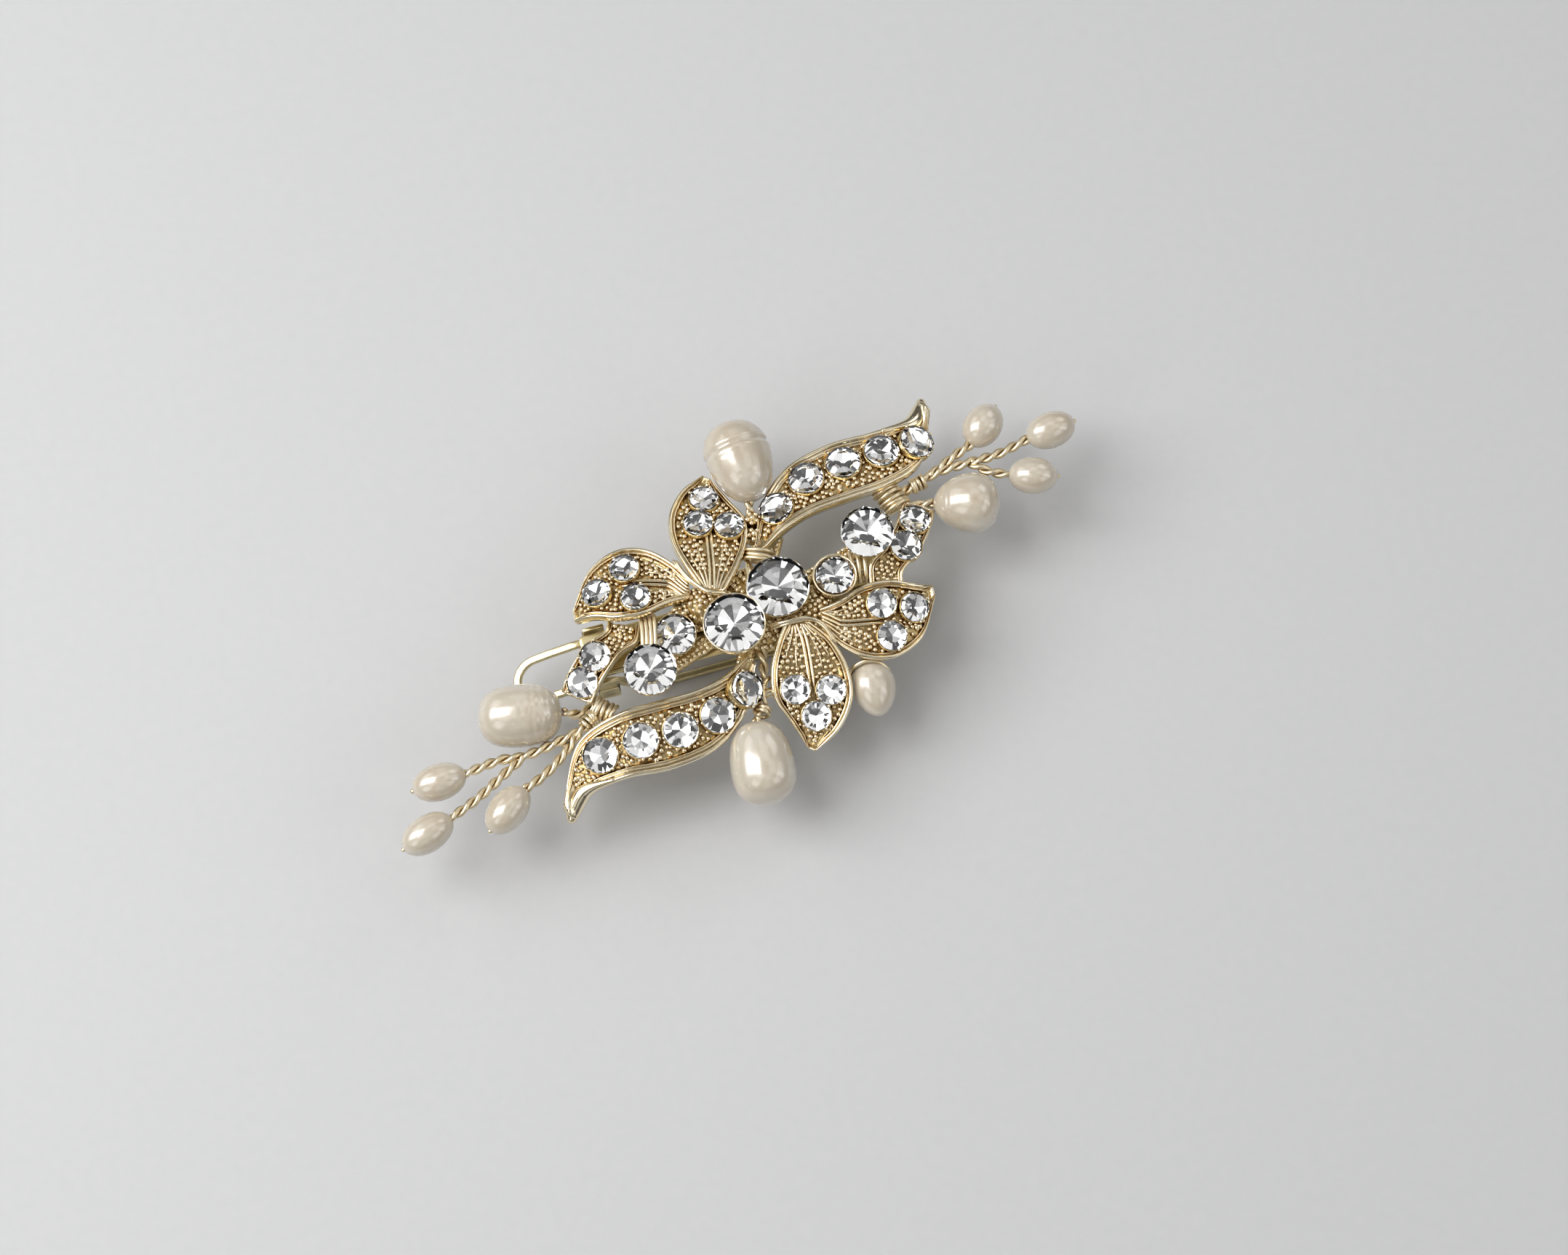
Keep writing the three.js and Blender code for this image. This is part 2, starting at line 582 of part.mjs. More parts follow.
const PEARL_STEMS = {
  left: [[-25.1, -6.3, 11.0], [-24.2, -6.6, 10.2], [-22.6, -6.2, 9.4], [-20.6, -5.2, 9.2]],
  right: [[23.3, 7.2, 9.6], [22.0, 6.6, 9.0], [20.2, 5.4, 8.8]],
  back: [[2.6, 12.2, 12.2], [2.4, 11.0, 11.2], [2.1, 9.2, 10.8], [2.0, 7.2, 10.7]],
  front: [[-4.0, -13.1, 10.6], [-3.0, -11.2, 10.2], [-2.0, -9.4, 10.4], [-1.2, -7.0, 10.7]],
  button: [[10.7, -9.6, 9.6], [10.4, -8.6, 10.0], [9.6, -7.4, 10.3]],
};

function addPearlStem(name) {
  const route = PEARL_STEMS[name];
  addPiece(`pearl_stem_${name}`, wire(route, WIRE_RADIUS, route.length * 3), wireGold());
}

// A lashing is the tight roll of binding wire round a spray's root, drawn as one sleeve.
function addLashing(side, place, heading, length) {
  const inner = WIRE_RADIUS + GAP;
  const half = length / 2;
  const profile = [
    [inner, -half], [LASHING_RADIUS, -half], [LASHING_RADIUS, half], [inner, half], [inner, -half],
  ];
  const mesh = addPiece(`lashing_${side}`, turned(profile, 12).rotateY(Math.PI / 2), wireGold());
  mesh.rotation.z = THREE.MathUtils.degToRad(heading);
  mesh.position.set(...place);
}

// ---- The whole barrette -------------------------------------------------------------

addClip();
addBase();
BLADES.forEach(addBlade);
CUPS.forEach(addCup);
PEARLS.forEach(addPearl);
["left", "right"].forEach(addSpray);
Object.keys(PEARL_STEMS).forEach(addPearlStem);
addLashing("left", [-22.9, -8.05, 10.8], 214, 1.6);
addLashing("right", [22.9, 9.93, 10.33], 14, 1.6);

// The origin is the middle of the bounding box, at the height of the arm's flat underside.
const bounds = new THREE.Box3().setFromObject(barrette);
const middle = bounds.getCenter(new THREE.Vector3());
barrette.position.set(-middle.x, -middle.y, -bounds.min.z);

export default barrette;
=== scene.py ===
"""Looks of a hair barrette: a cast flower with crystals and pearls on a French clip.

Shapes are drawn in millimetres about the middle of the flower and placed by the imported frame.
"""

import math
import random

import bmesh
import bpy
import numpy as np
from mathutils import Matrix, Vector


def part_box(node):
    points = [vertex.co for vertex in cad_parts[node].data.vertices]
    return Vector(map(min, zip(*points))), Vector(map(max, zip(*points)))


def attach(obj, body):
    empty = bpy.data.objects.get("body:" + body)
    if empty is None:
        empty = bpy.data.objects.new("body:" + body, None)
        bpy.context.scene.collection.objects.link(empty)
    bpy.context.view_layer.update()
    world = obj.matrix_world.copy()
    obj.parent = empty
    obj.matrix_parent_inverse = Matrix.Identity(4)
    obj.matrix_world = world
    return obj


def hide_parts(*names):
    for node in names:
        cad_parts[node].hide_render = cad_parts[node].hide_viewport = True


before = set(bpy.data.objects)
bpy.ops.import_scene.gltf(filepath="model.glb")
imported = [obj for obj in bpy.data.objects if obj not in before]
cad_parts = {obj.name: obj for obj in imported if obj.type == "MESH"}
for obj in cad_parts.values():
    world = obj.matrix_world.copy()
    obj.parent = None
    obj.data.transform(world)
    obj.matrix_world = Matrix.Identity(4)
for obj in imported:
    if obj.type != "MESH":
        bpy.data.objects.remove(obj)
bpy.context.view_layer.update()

MM = 0.001
TAU = math.tau
FLOWER = "flower_and_plate"


def middle_of(node):
    """The middle of a CAD node's box, in millimetres of the row frame."""
    low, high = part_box(node)
    return np.array((low + high) / 2) / MM


# The flower's own middle, from which every piece below is drawn.
HINGE_X = 16.2
HINGE_Z = 7.3
SHIFT = middle_of("hinge_pin") * (1, 1, 0) - (HINGE_X, 0, 0)


def box_here(node):
    """A CAD node's low and high corner about the flower's middle, in millimetres."""
    low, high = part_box(node)
    return np.array(low) / MM - SHIFT, np.array(high) / MM - SHIFT


# ---- Camera ----

CAMERA_AZIMUTH = -16.0
CAMERA_ELEVATION = 72.0
CAMERA_DISTANCE = 516.3
CAMERA_LENS = 100.0
AIM = (2.291, -3.602, 12.08)


def add_camera():
    data = bpy.data.cameras.new("Camera")
    data.lens = CAMERA_LENS
    data.sensor_width = 36.0
    data.clip_start = 0.01
    camera = bpy.data.objects.new("Camera", data)
    bpy.context.scene.collection.objects.link(camera)
    turn = math.radians(CAMERA_AZIMUTH)
    rise = math.radians(CAMERA_ELEVATION)
    back = Vector((
        math.sin(turn) * math.cos(rise),
        -math.cos(turn) * math.cos(rise),
        math.sin(rise),
    ))
    camera.location = (Vector(SHIFT) + Vector(AIM) + back * CAMERA_DISTANCE) * MM
    camera.rotation_euler = back.to_track_quat("Z", "Y").to_euler()
    bpy.context.scene.camera = camera


add_camera()


# ---- Materials ----


def new_material(name):
    material = bpy.data.materials.new(name)
    material.use_nodes = True
    tree = material.node_tree
    return material, tree, tree.nodes["Principled BSDF"]


def set_sockets(node, **values):
    """Sets a node's inputs by name, with an underscore for each space."""
    for name, value in values.items():
        node.inputs[name.replace("_", " ")].default_value = value


def new_node(tree, kind, **values):
    node = tree.nodes.new(f"ShaderNode{kind}")
    set_sockets(node, **values)
    return node


def noise(tree, scale, detail=3.0, stretch=(1, 1, 1)):
    """Noise in the piece's own metres: scale 1000 has features of about a millimetre."""
    place = new_node(tree, "TexCoord")
    mapping = new_node(tree, "Mapping", Scale=stretch)
    texture = new_node(tree, "TexNoise", Scale=scale, Detail=detail)
    tree.links.new(place.outputs["Object"], mapping.inputs["Vector"])
    tree.links.new(mapping.outputs["Vector"], texture.inputs["Vector"])
    return texture.outputs["Fac"]


def cells(tree, scale):
    """Distance to the nearest cell middle, for pits and grains."""
    place = new_node(tree, "TexCoord")
    texture = new_node(tree, "TexVoronoi", Scale=scale)
    tree.links.new(place.outputs["Object"], texture.inputs["Vector"])
    return texture.outputs["Distance"]


def ramp(tree, factor, stops):
    """A colour ramp through (position, colour) stops."""
    node = new_node(tree, "ValToRGB")
    elements = node.color_ramp.elements
    while len(elements) < len(stops):
        elements.new(0.5)
    for element, (position, colour) in zip(elements, stops):
        element.position = position
        element.color = (*colour, 1)
    tree.links.new(factor, node.inputs["Fac"])
    return node.outputs["Color"]


def between(tree, factor, low, high):
    """Maps a 0 to 1 factor onto low to high."""
    node = new_node(tree, "MapRange", To_Min=low, To_Max=high)
    tree.links.new(factor, node.inputs["Value"])
    return node.outputs["Result"]


def multiply(tree, first, second):
    node = new_node(tree, "Mix")
    node.data_type = "RGBA"
    node.blend_type = "MULTIPLY"
    node.inputs["Factor"].default_value = 1
    tree.links.new(first, node.inputs["A"])
    tree.links.new(second, node.inputs["B"])
    return node.outputs["Result"]


def painted_corner_shade(tree, reach):
    """Painted shade for corners: 1 on open surfaces, down to 0 in corners narrower than reach, in
    metres.
    """
    node = new_node(tree, "AmbientOcclusion", Distance=reach)
    node.samples = 6
    return node.outputs["AO"]


def bump(tree, height, strength, depth, shader):
    node = new_node(tree, "Bump", Strength=strength, Distance=depth)
    tree.links.new(height, node.inputs["Height"])
    tree.links.new(node.outputs["Normal"], shader.inputs["Normal"])


def metal(name, pale, deep, recess_shade, rough, grain, stretch=(1, 1, 1), reach=0.9 * MM, pit=0.0):
    """Metal whose colour drifts from pale to deep, with shade painted towards recess in corners."""
    material, tree, shader = new_material(name)
    set_sockets(shader, Metallic=1.0)
    tone = ramp(tree, noise(tree, 420, 3, stretch), [(0.32, pale), (0.68, deep)])
    # Painted shade: ambient occlusion darkens the colour towards the recess colour in corners.
    shade = ramp(tree, painted_corner_shade(tree, reach), [(0.15, recess_shade), (0.75, (1, 1, 1))])
    tree.links.new(multiply(tree, tone, shade), shader.inputs["Base Color"])
    wear = noise(tree, 1600, 4, stretch)
    tree.links.new(between(tree, wear, *rough), shader.inputs["Roughness"])
    texture = cells(tree, grain) if pit else noise(tree, grain, 4, stretch)
    bump(tree, texture, pit or 0.25, 0.06 * MM, shader)
    return material


def crystal():
    material, tree, shader = new_material("crystal")
    drift = noise(tree, 260)
    tint = ramp(tree, drift, [(0.3, (0.985, 0.985, 0.985)), (0.7, (1.0, 1.0, 0.995))])
    tree.links.new(tint, shader.inputs["Base Color"])
    set_sockets(shader, Transmission_Weight=1.0, IOR=1.5)
    smudge = noise(tree, 900, 4)
    tree.links.new(between(tree, smudge, 0.0, 0.02), shader.inputs["Roughness"])
    return material


def crystal_foil():
    """The silvered back of a stone, seen through its facets."""
    material, tree, shader = new_material("crystal_foil")
    set_sockets(shader, Metallic=1.0)
    tint = ramp(tree, noise(tree, 700), [(0.3, (0.97, 0.97, 0.965)), (0.7, (0.90, 0.90, 0.895))])
    tree.links.new(tint, shader.inputs["Base Color"])
    tree.links.new(between(tree, noise(tree, 1500), 0.02, 0.06), shader.inputs["Roughness"])
    return material


def nacre():
    material, tree, shader = new_material("pearl")
    cloud = ramp(tree, noise(tree, 260, 4), [
        (0.25, (0.55, 0.46, 0.34)), (0.5, (0.60, 0.53, 0.42)), (0.75, (0.62, 0.57, 0.475)),
    ])
    tree.links.new(cloud, shader.inputs["Base Color"])
    set_sockets(shader, Subsurface_Weight=0.3, Subsurface_Radius=(1.0, 0.8, 0.6))
    set_sockets(shader, Subsurface_Scale=0.9 * MM, Specular_IOR_Level=0.9, IOR=1.55)
    set_sockets(shader, Coat_Weight=1.0, Coat_Roughness=0.13, Coat_IOR=1.6)
    set_sockets(shader, Sheen_Weight=0.08, Sheen_Roughness=0.4)
    tree.links.new(between(tree, noise(tree, 500, 4), 0.20, 0.32), shader.inputs["Roughness"])
    bump(tree, noise(tree, 380, 4), 0.06, 0.15 * MM, shader)
    return material


def floor_card():
    material, tree, shader = new_material("floor_card")
    fibres = noise(tree, 700, 4)
    tone = ramp(tree, fibres, [(0.3, (0.565, 0.567, 0.57)), (0.7, (0.58, 0.58, 0.58))])
    tree.links.new(tone, shader.inputs["Base Color"])
    set_sockets(shader, Roughness=0.75)
    bump(tree, noise(tree, 1500, 3), 0.08, 0.05 * MM, shader)
    return material


# The third colour of each metal is the painted shade it reaches in its corners.
POLISHED = metal(
    "cast_gold_polished", (0.96, 0.86, 0.64), (0.90, 0.77, 0.52), (0.42, 0.27, 0.09),
    rough=(0.10, 0.22), grain=1300,
)
# The grained gold has real pits and a rougher finish, but its darker colour is painted shade for
# sunk floors and low parts.
GRAINED_SHADED = metal(
    "cast_gold_grained_shaded", (0.71, 0.56, 0.30), (0.61, 0.45, 0.20), (0.20, 0.10, 0.022),
    rough=(0.18, 0.34), grain=2600, pit=0.55,
)
BRASS = metal(
    "clip_brass", (0.80, 0.70, 0.44), (0.74, 0.63, 0.36), (0.42, 0.30, 0.12),
    rough=(0.20, 0.36), grain=1800, stretch=(0.12, 1, 1),
)
STEEL = metal(
    "spring_steel", (0.62, 0.60, 0.54), (0.54, 0.52, 0.46), (0.35, 0.33, 0.28),
    rough=(0.20, 0.34), grain=1800, stretch=(0.1, 1, 1),
)
WIRE = metal(
    "wire_gold", (0.88, 0.77, 0.55), (0.79, 0.66, 0.43), (0.44, 0.29, 0.11),
    rough=(0.26, 0.40), grain=2400, reach=0.5 * MM,
)
CRYSTAL = crystal()
FOIL = crystal_foil()
PEARL = nacre()


# ---- Curves ----


def spline(points, at):
    """A centripetal Catmull-Rom curve through the points, at places 0 to 1 along it."""
    points = np.asarray(points, float)
    ends = 2 * points[0] - points[1], 2 * points[-1] - points[-2]
    padded = np.vstack([ends[0], points, ends[1]])
    spans = len(points) - 1
    place = np.clip(np.atleast_1d(at), 0, 1) * spans
    index = np.minimum(place.astype(int), spans - 1)
    weight = (place - index)[:, None]
    p0, p1, p2, p3 = (padded[index + step] for step in range(4))

    def gap(first, second):
        return np.maximum(np.linalg.norm(second - first, axis=1), 1e-4)[:, None] ** 0.5

    d0, d1, d2 = gap(p0, p1), gap(p1, p2), gap(p2, p3)
    leave = ((p1 - p0) / d0 - (p2 - p0) / (d0 + d1) + (p2 - p1) / d1) * d1
    arrive = ((p2 - p1) / d1 - (p3 - p1) / (d1 + d2) + (p3 - p2) / d2) * d1
    return (
        p1
        + leave * weight
        + (3 * (p2 - p1) - 2 * leave - arrive) * weight**2
        + (2 * (p1 - p2) + leave + arrive) * weight**3
    )


def even_path(points, step):
    """The same curve with its points an even distance apart."""
    dense = spline(points, np.linspace(0, 1, 400))
    walked = np.concatenate([[0], np.cumsum(np.linalg.norm(np.diff(dense, axis=0), axis=1))])
    count = max(int(walked[-1] / step), 4)
    target = np.linspace(0, walked[-1], count + 1)
    return np.stack([np.interp(target, walked, dense[:, axis]) for axis in range(3)], axis=1)


def unit(vectors):
    return vectors / np.maximum(np.linalg.norm(vectors, axis=-1, keepdims=True), 1e-9)


def path_frames(path):
    """Two directions square to a path, turning as little as they can along it."""
    tangents = unit(np.gradient(path, axis=0))
    side = np.cross(tangents[0], (0, 0, 1))
    if np.linalg.norm(side) < 0.1:
        side = np.array((1.0, 0, 0))
    sides = []
    for tangent in tangents:
        side = unit(side - tangent * side.dot(tangent))
        sides.append(side)
    sides = np.array(sides)
    return sides, np.cross(sides, tangents)


# ---- Mesh building ----


class Shape:
    """The vertices and faces of one piece, in millimetres about the flower's middle."""

    def __init__(self, *materials):
        self.materials = materials
        self.points = []
        self.faces = []
        self.slots = []
        self.smooth = []
        self.total = 0

    def add(self, points, faces, material=None, smooth=True):
        points = np.asarray(points, float).reshape(-1, 3)
        slot = self.materials.index(material or self.materials[0])
        self.points.append(points)
        self.faces.extend(tuple(self.total + i for i in face) for face in faces)
        self.slots.extend([slot] * len(faces))
        self.smooth.extend([smooth] * len(faces))
        self.total += len(points)

    def rings(self, rings, material=None, smooth=True, caps=True):
        """A skin over equal closed rings of points, closed by a flat face at each end."""
        rings = np.asarray(rings, float)
        rows, columns = rings.shape[:2]
        faces = [
            (row * columns + i, row * columns + j, (row + 1) * columns + j, (row + 1) * columns + i)
            for row in range(rows - 1)
            for i, j in zip(range(columns), [*range(1, columns), 0])
        ]
        if caps:
            faces.append(tuple(reversed(range(columns))))
            faces.append(tuple((rows - 1) * columns + i for i in range(columns)))
        self.add(rings, faces, material, smooth)

    def turn(self, degrees, shift):
        """Turns what has been drawn about the flower's middle, then shifts it in plan."""
        angle = math.radians(degrees)
        cos, sin = math.cos(angle), math.sin(angle)
        matrix = np.array(((cos, sin, 0), (-sin, cos, 0), (0, 0, 1)))
        self.points = [points @ matrix + (*shift, 0) for points in self.points]

    def piece(self, name, body, slot, *nodes):
        """Makes the Blender object and fastens it to its CAD body."""
        mesh = bpy.data.meshes.new(name)
        points = (np.vstack(self.points) + SHIFT) * MM
        mesh.from_pydata(points.tolist(), [], self.faces)
        for material in self.materials:
            mesh.materials.append(material)
        mesh.polygons.foreach_set("material_index", self.slots)
        mesh.polygons.foreach_set("use_smooth", self.smooth)
        mesh.validate()
        skin = bmesh.new()
        skin.from_mesh(mesh)
        bmesh.ops.recalc_face_normals(skin, faces=skin.faces)
        skin.to_mesh(mesh)
        skin.free()
        mesh.update()
        made = bpy.data.objects.new(name, mesh)
        bpy.context.scene.collection.objects.link(made)
        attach(made, body)
        if nodes:
            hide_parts(*nodes)


TUBE_END = 0.6


def add_tube(shape, path, radius, sides=8, material=None, flat=(1, 1)):
    """A round or flattened bar along a path, drawn in to TUBE_END of its radius at each end."""
    path = np.asarray(path, float)
    radius = np.broadcast_to(radius, len(path)).astype(float).copy()
    radius[[0, -1]] *= TUBE_END
    side, up = path_frames(path)
    angles = np.arange(sides) / sides * TAU
    ring = (
        side[:, None] * np.cos(angles)[None, :, None] * flat[0]
        + up[:, None] * np.sin(angles)[None, :, None] * flat[1]
    )
    shape.rings(path[:, None] + ring * radius[:, None, None], material)


def add_lathe(shape, profile, place, normal=(0, 0, 1), segments=32, material=None, closed=False):
    """Turns (radius, height) pairs about a normal. A closed profile makes a ring."""
    normal = unit(np.asarray(normal, float))
    side, up = square_to(normal)
    angles = np.arange(segments) / segments * TAU
    wheel = side * np.cos(angles)[:, None] + up * np.sin(angles)[:, None]
    rows = [
        np.asarray(place) + wheel * max(radius, 1e-3) + normal * height
        for radius, height in profile
    ]
    if closed:
        rows.append(rows[0])
    shape.rings(rows, material, caps=not closed)


def square_to(normal):
    side = np.cross((0, 1, 0), normal)
    if np.linalg.norm(side) < 0.1:
        side = np.cross((1, 0, 0), normal)
    side = unit(side)
    return side, np.cross(normal, side)


def bead_template():
    """A small ball of 42 points."""
    mesh = bmesh.new()
    bmesh.ops.create_icosphere(mesh, subdivisions=2, radius=1.0)
    points = np.array([vertex.co for vertex in mesh.verts])
    faces = [tuple(vertex.index for vertex in face.verts) for face in mesh.faces]
    mesh.free()
    return points, faces


BEAD_POINTS, BEAD_FACES = bead_template()


def add_bead(shape, place, radius, squash=(1, 1, 1), material=None):
    shape.add(BEAD_POINTS * radius * squash + place, BEAD_FACES, material)


# ---- Stones ----

# A stone's parts as shares of its radius: the heights of its crown, girdle and back, the width
# of its table, the girdle's swell, and how far every other lower point drops.
CROWN = 0.32
TABLE = 0.54
GIRDLE = 0.06
SWELL = 1.015
BACK = 0.30
ZIGZAG = 0.06


def add_stone(shape, place, normal, radius, sides=12, spin=0.0):
    """A round cut stone with a silvered back. place is the middle of the girdle's lower edge."""
    normal = unit(np.asarray(normal, float))
    side, up = square_to(normal)

    def wheel(size, height, start):
        angles = spin + (np.arange(sides) + start) / sides * TAU
        ring = side * np.cos(angles)[:, None] + up * np.sin(angles)[:, None]
        return place + ring * size + normal * height

    dropped = np.outer(np.arange(sides) % 2, normal) * radius * ZIGZAG
    points = np.vstack([
        wheel(radius * TABLE, radius * (GIRDLE + CROWN), 0),
        wheel(radius * SWELL, radius * GIRDLE, 0),
        wheel(radius * SWELL, 0, 0.5) - dropped,
        place - normal * radius * BACK,
    ])
    girdle, lower, culet = sides, 2 * sides, 3 * sides
    clear = [tuple(range(sides))]
    silvered = []
    for k in range(sides):
        after = (k + 1) % sides
        clear.append((k, girdle + k, girdle + after, after))
        clear.append((girdle + k, lower + k, girdle + after))
        clear.append((lower + k, lower + after, girdle + after))
        silvered.append((lower + k, culet, lower + after))
    shape.add(points, clear + silvered, CRYSTAL, smooth=False)
    shape.slots[-sides:] = [shape.materials.index(FOIL)] * sides


# ---- Leaves and ribbons ----

# Rows from root to tip: one edge point and the opposite one.
SIDE_LEAF = [
    [(-7.5, 2.7, 13.3), (-6.9, 5.2, 12.9)],
    [(-10.3, 2.6, 13.8), (-8.4, 7.9, 12.7)],
    [(-13.5, 2.0, 14.2), (-10.9, 10.3, 12.6)],
    [(-16.5, 2.4, 14.1), (-14.1, 11.2, 12.4)],
    [(-19.1, 3.5, 13.3), (-17.9, 9.9, 12.0)],
    [(-21.5, 4.1, 11.8), (-21.4, 5.2, 11.6)],
]
END_LEAF = [
    [(-5.5, 4.0, 13.8), (-2.9, 2.9, 13.7)],
    [(-7.0, 6.6, 13.5), (-1.2, 5.0, 13.5)],
    [(-7.7, 10.4, 12.6), (0.6, 8.1, 12.8)],
    [(-7.0, 14.0, 11.8), (1.2, 11.1, 12.0)],
    [(-4.6, 16.9, 10.9), (0.2, 14.4, 10.8)],
    [(-1.5, 18.4, 9.8), (-0.9, 17.8, 9.8)],
]
LONG_RIBBON = [
    [(-2.1, -7.2, 13.0), (-3.1, -6.4, 13.5)],
    [(-4.9, -12.4, 11.4), (-6.3, -7.9, 13.3)],
    [(-9.2, -15.6, 11.5), (-10.0, -8.6, 13.3)],
    [(-14.9, -16.6, 11.6), (-14.8, -8.6, 13.3)],
    [(-20.7, -16.2, 11.5), (-19.7, -8.7, 13.0)],
    [(-25.4, -16.7, 10.5), (-24.8, -10.4, 11.8)],
    [(-27.7, -18.9, 9.0), (-28.7, -17.1, 9.5)],
]
SHORT_RIBBON = [
    [(-13.8, 1.5, 12.1), (-17.6, 3.0, 12.1)],
    [(-14.9, -0.6, 12.6), (-18.1, 2.0, 12.3)],
    [(-17.1, -1.5, 12.8), (-20.8, 0.7, 12.3)],
    [(-18.9, -2.9, 12.6), (-23.0, -1.0, 12.1)],
    [(-20.6, -4.5, 12.2), (-24.4, -2.6, 11.7)],
    [(-22.2, -6.4, 11.6), (-25.2, -3.7, 11.0)],
]

# Under a blade's edges: its grained floor, its flat back, and the dip below each stone.
FLOOR_DEPTH = 0.6
UNDERSIDE = 1.25
SEAT_DEPTH = 0.5
# Half of a blade's section: distance in from the edge and height, in millimetres.
# A leaf has a broad outer band and one narrow ridge beside it; a long ribbon has two.
LEAF_RIM = [
    (0.00, -1.05), (-0.03, -0.60), (-0.02, -0.24), (0.05, -0.06), (0.18, 0.03), (0.36, 0.04),
    (0.50, -0.03), (0.57, -0.18), (0.62, -0.31), (0.68, -0.31), (0.73, -0.18), (0.82, -0.12),
    (0.91, -0.19), (0.97, -0.36), (1.05, -0.60),
]
RIBBON_RIM = [
    (0.00, -1.05), (-0.03, -0.60), (-0.02, -0.24), (0.05, -0.07), (0.17, 0.03), (0.36, 0.04),
    (0.50, -0.04), (0.57, -0.23), (0.63, -0.27), (0.69, -0.13), (0.78, -0.07), (0.88, -0.11),
    (0.95, -0.28), (1.01, -0.33), (1.06, -0.24), (1.14, -0.20), (1.22, -0.33), (1.29, -0.60),
]
FLOOR_COLUMNS = 17
BLADE_ROWS = 96
# Spacing of the floor's cast beads, and how far they keep from a leaf's middle line.
GRAIN_PITCH = 0.68
VEIN_CLEARANCE = 0.62
# Shares of a blade's length: where the grain and the floor's painted shade stop, the bare root
# of a leaf, and how far its middle veins reach.
GRAIN_ENDS = {"leaf": 0.97, "long": 0.91, "short": 0.95}
BARE_ROOT = 0.15
VEIN_REACH = 0.58
# A long ribbon's lower rim starts to swell at CURL_FROM, is full CURL_GROWS later, and narrows
# over the last CURL_ENDS.
CURL_FROM, CURL_GROWS, CURL_ENDS = 0.70, 0.22, 0.14

# Each blade is drawn from its rows, with stones seated at (u, v) on it. It may then be turned by
# so many degrees and shifted in plan. Also optional: a wall across the root, how far each edge
# swells outwards, a shift of the root, the lean of the middle vein, and single stones' tilts
# and raises.
BLADES = [
    {
        "name": "leaf_left", "rows": SIDE_LEAF, "kind": "leaf",
        "seats": [(0.46, -0.48), (0.55, 0.38), (0.76, -0.14)],
        "lean": -0.75,
    },
    {
        "name": "leaf_right", "rows": SIDE_LEAF, "kind": "leaf",
        "seats": [(0.52, -0.42), (0.58, 0.44), (0.77, -0.16)],
        "turn": 184, "shift": (-0.8, -0.7), "lean": -0.5,
    },
    {
        "name": "leaf_back", "rows": END_LEAF, "kind": "leaf", "root_wall": True,
        "seats": [(0.52, 0.54), (0.53, -0.24), (0.74, -0.06)],
        "spread": (0, 0.5), "root": (-0.5, -0.8, 0.1),
    },
    {
        "name": "leaf_front", "rows": END_LEAF, "kind": "leaf", "root_wall": True,
        "seats": [(0.54, 0.42), (0.54, -0.46), (0.72, -0.06)],
        "turn": 182, "shift": (-0.4, -0.4), "spread": (0.6, 0),
    },
    {
        "name": "ribbon_long_front", "rows": LONG_RIBBON, "kind": "long",
        "seats": [(0.12, -0.35), (0.28, -0.1), (0.44, 0), (0.59, 0), (0.75, 0)],
        "tilts": {0: (0.42, -0.2, 0.88)}, "raise": {0: 0.6},
    },
    {
        "name": "ribbon_long_back", "rows": LONG_RIBBON, "kind": "long",
        "seats": [(0.2, -0.1), (0.38, -0.2), (0.53, -0.2), (0.68, -0.2), (0.83, 0.14)],
        "turn": 185, "shift": (0.2, -0.4), "tilts": {4: (-0.4, -0.05, 0.9)}, "raise": {4: 0.3},
    },
    {
        "name": "ribbon_short_left", "rows": SHORT_RIBBON, "kind": "short",
        "seats": [(0.5, 0.12), (0.8, 0)],
    },
    {
        "name": "ribbon_short_right", "rows": SHORT_RIBBON, "kind": "short",
        "seats": [(0.46, 0.12), (0.77, 0)], "turn": 190, "shift": (-0.3, -2),
    },
]

# Each kind of blade: its stones' radius and lift, its rim and the rim's scale, how far from its
# tip the floor closes up, and how high the closed tip is crowned.
KINDS = {
    "leaf": {"radius": 1.75, "lift": 0.93, "section": LEAF_RIM, "rim": 0.88, "end": 0.75,
             "crown": 0.05},
    "long": {"radius": 2.1, "lift": 0.80, "section": RIBBON_RIM, "rim": 1.0, "end": 3.4,
             "crown": 0.75},
    "short": {"radius": 1.85, "lift": 0.80, "section": LEAF_RIM, "rim": 0.68, "end": 0.9,
              "crown": 0.1},
}


class Surface:
    """The sheet between a blade's two edges: u from root to tip, v from -1 to 1 across."""

    def __init__(self, rows, spread=(0, 0), root=(0, 0, 0)):
        edges = [np.array([row[side] for row in rows]) for side in (0, 1)]
        outward = unit(edges[0] - edges[1])
        swell = np.sin(np.linspace(0, math.pi, len(rows)))[:, None]
        for edge in edges:
            edge[0] += root
        outward = outward * swell
        self.edges = [edges[0] + outward * spread[0], edges[1] - outward * spread[1]]

    def at(self, u, v):
        u = np.atleast_1d(np.asarray(u, float))
        share = ((np.atleast_1d(np.asarray(v, float)) + 1) / 2)[:, None]
        return spline(self.edges[0], u) * (1 - share) + spline(self.edges[1], u) * share

    def normal(self, u, v):
        step = 0.02
        along = self.at(np.add(u, step), v) - self.at(np.subtract(u, step), v)
        across = self.at(u, np.add(v, step)) - self.at(u, np.subtract(v, step))
        normal = unit(np.cross(along, across))
        return normal * np.where(normal[:, 2:] < 0, -1, 1)

    def width(self, u):
        return np.linalg.norm(self.at(u, 1) - self.at(u, -1), axis=1)

    def on_floor(self, u, v, height=0.0):
        return self.at(u, v) + self.normal(u, v) * (height - FLOOR_DEPTH)


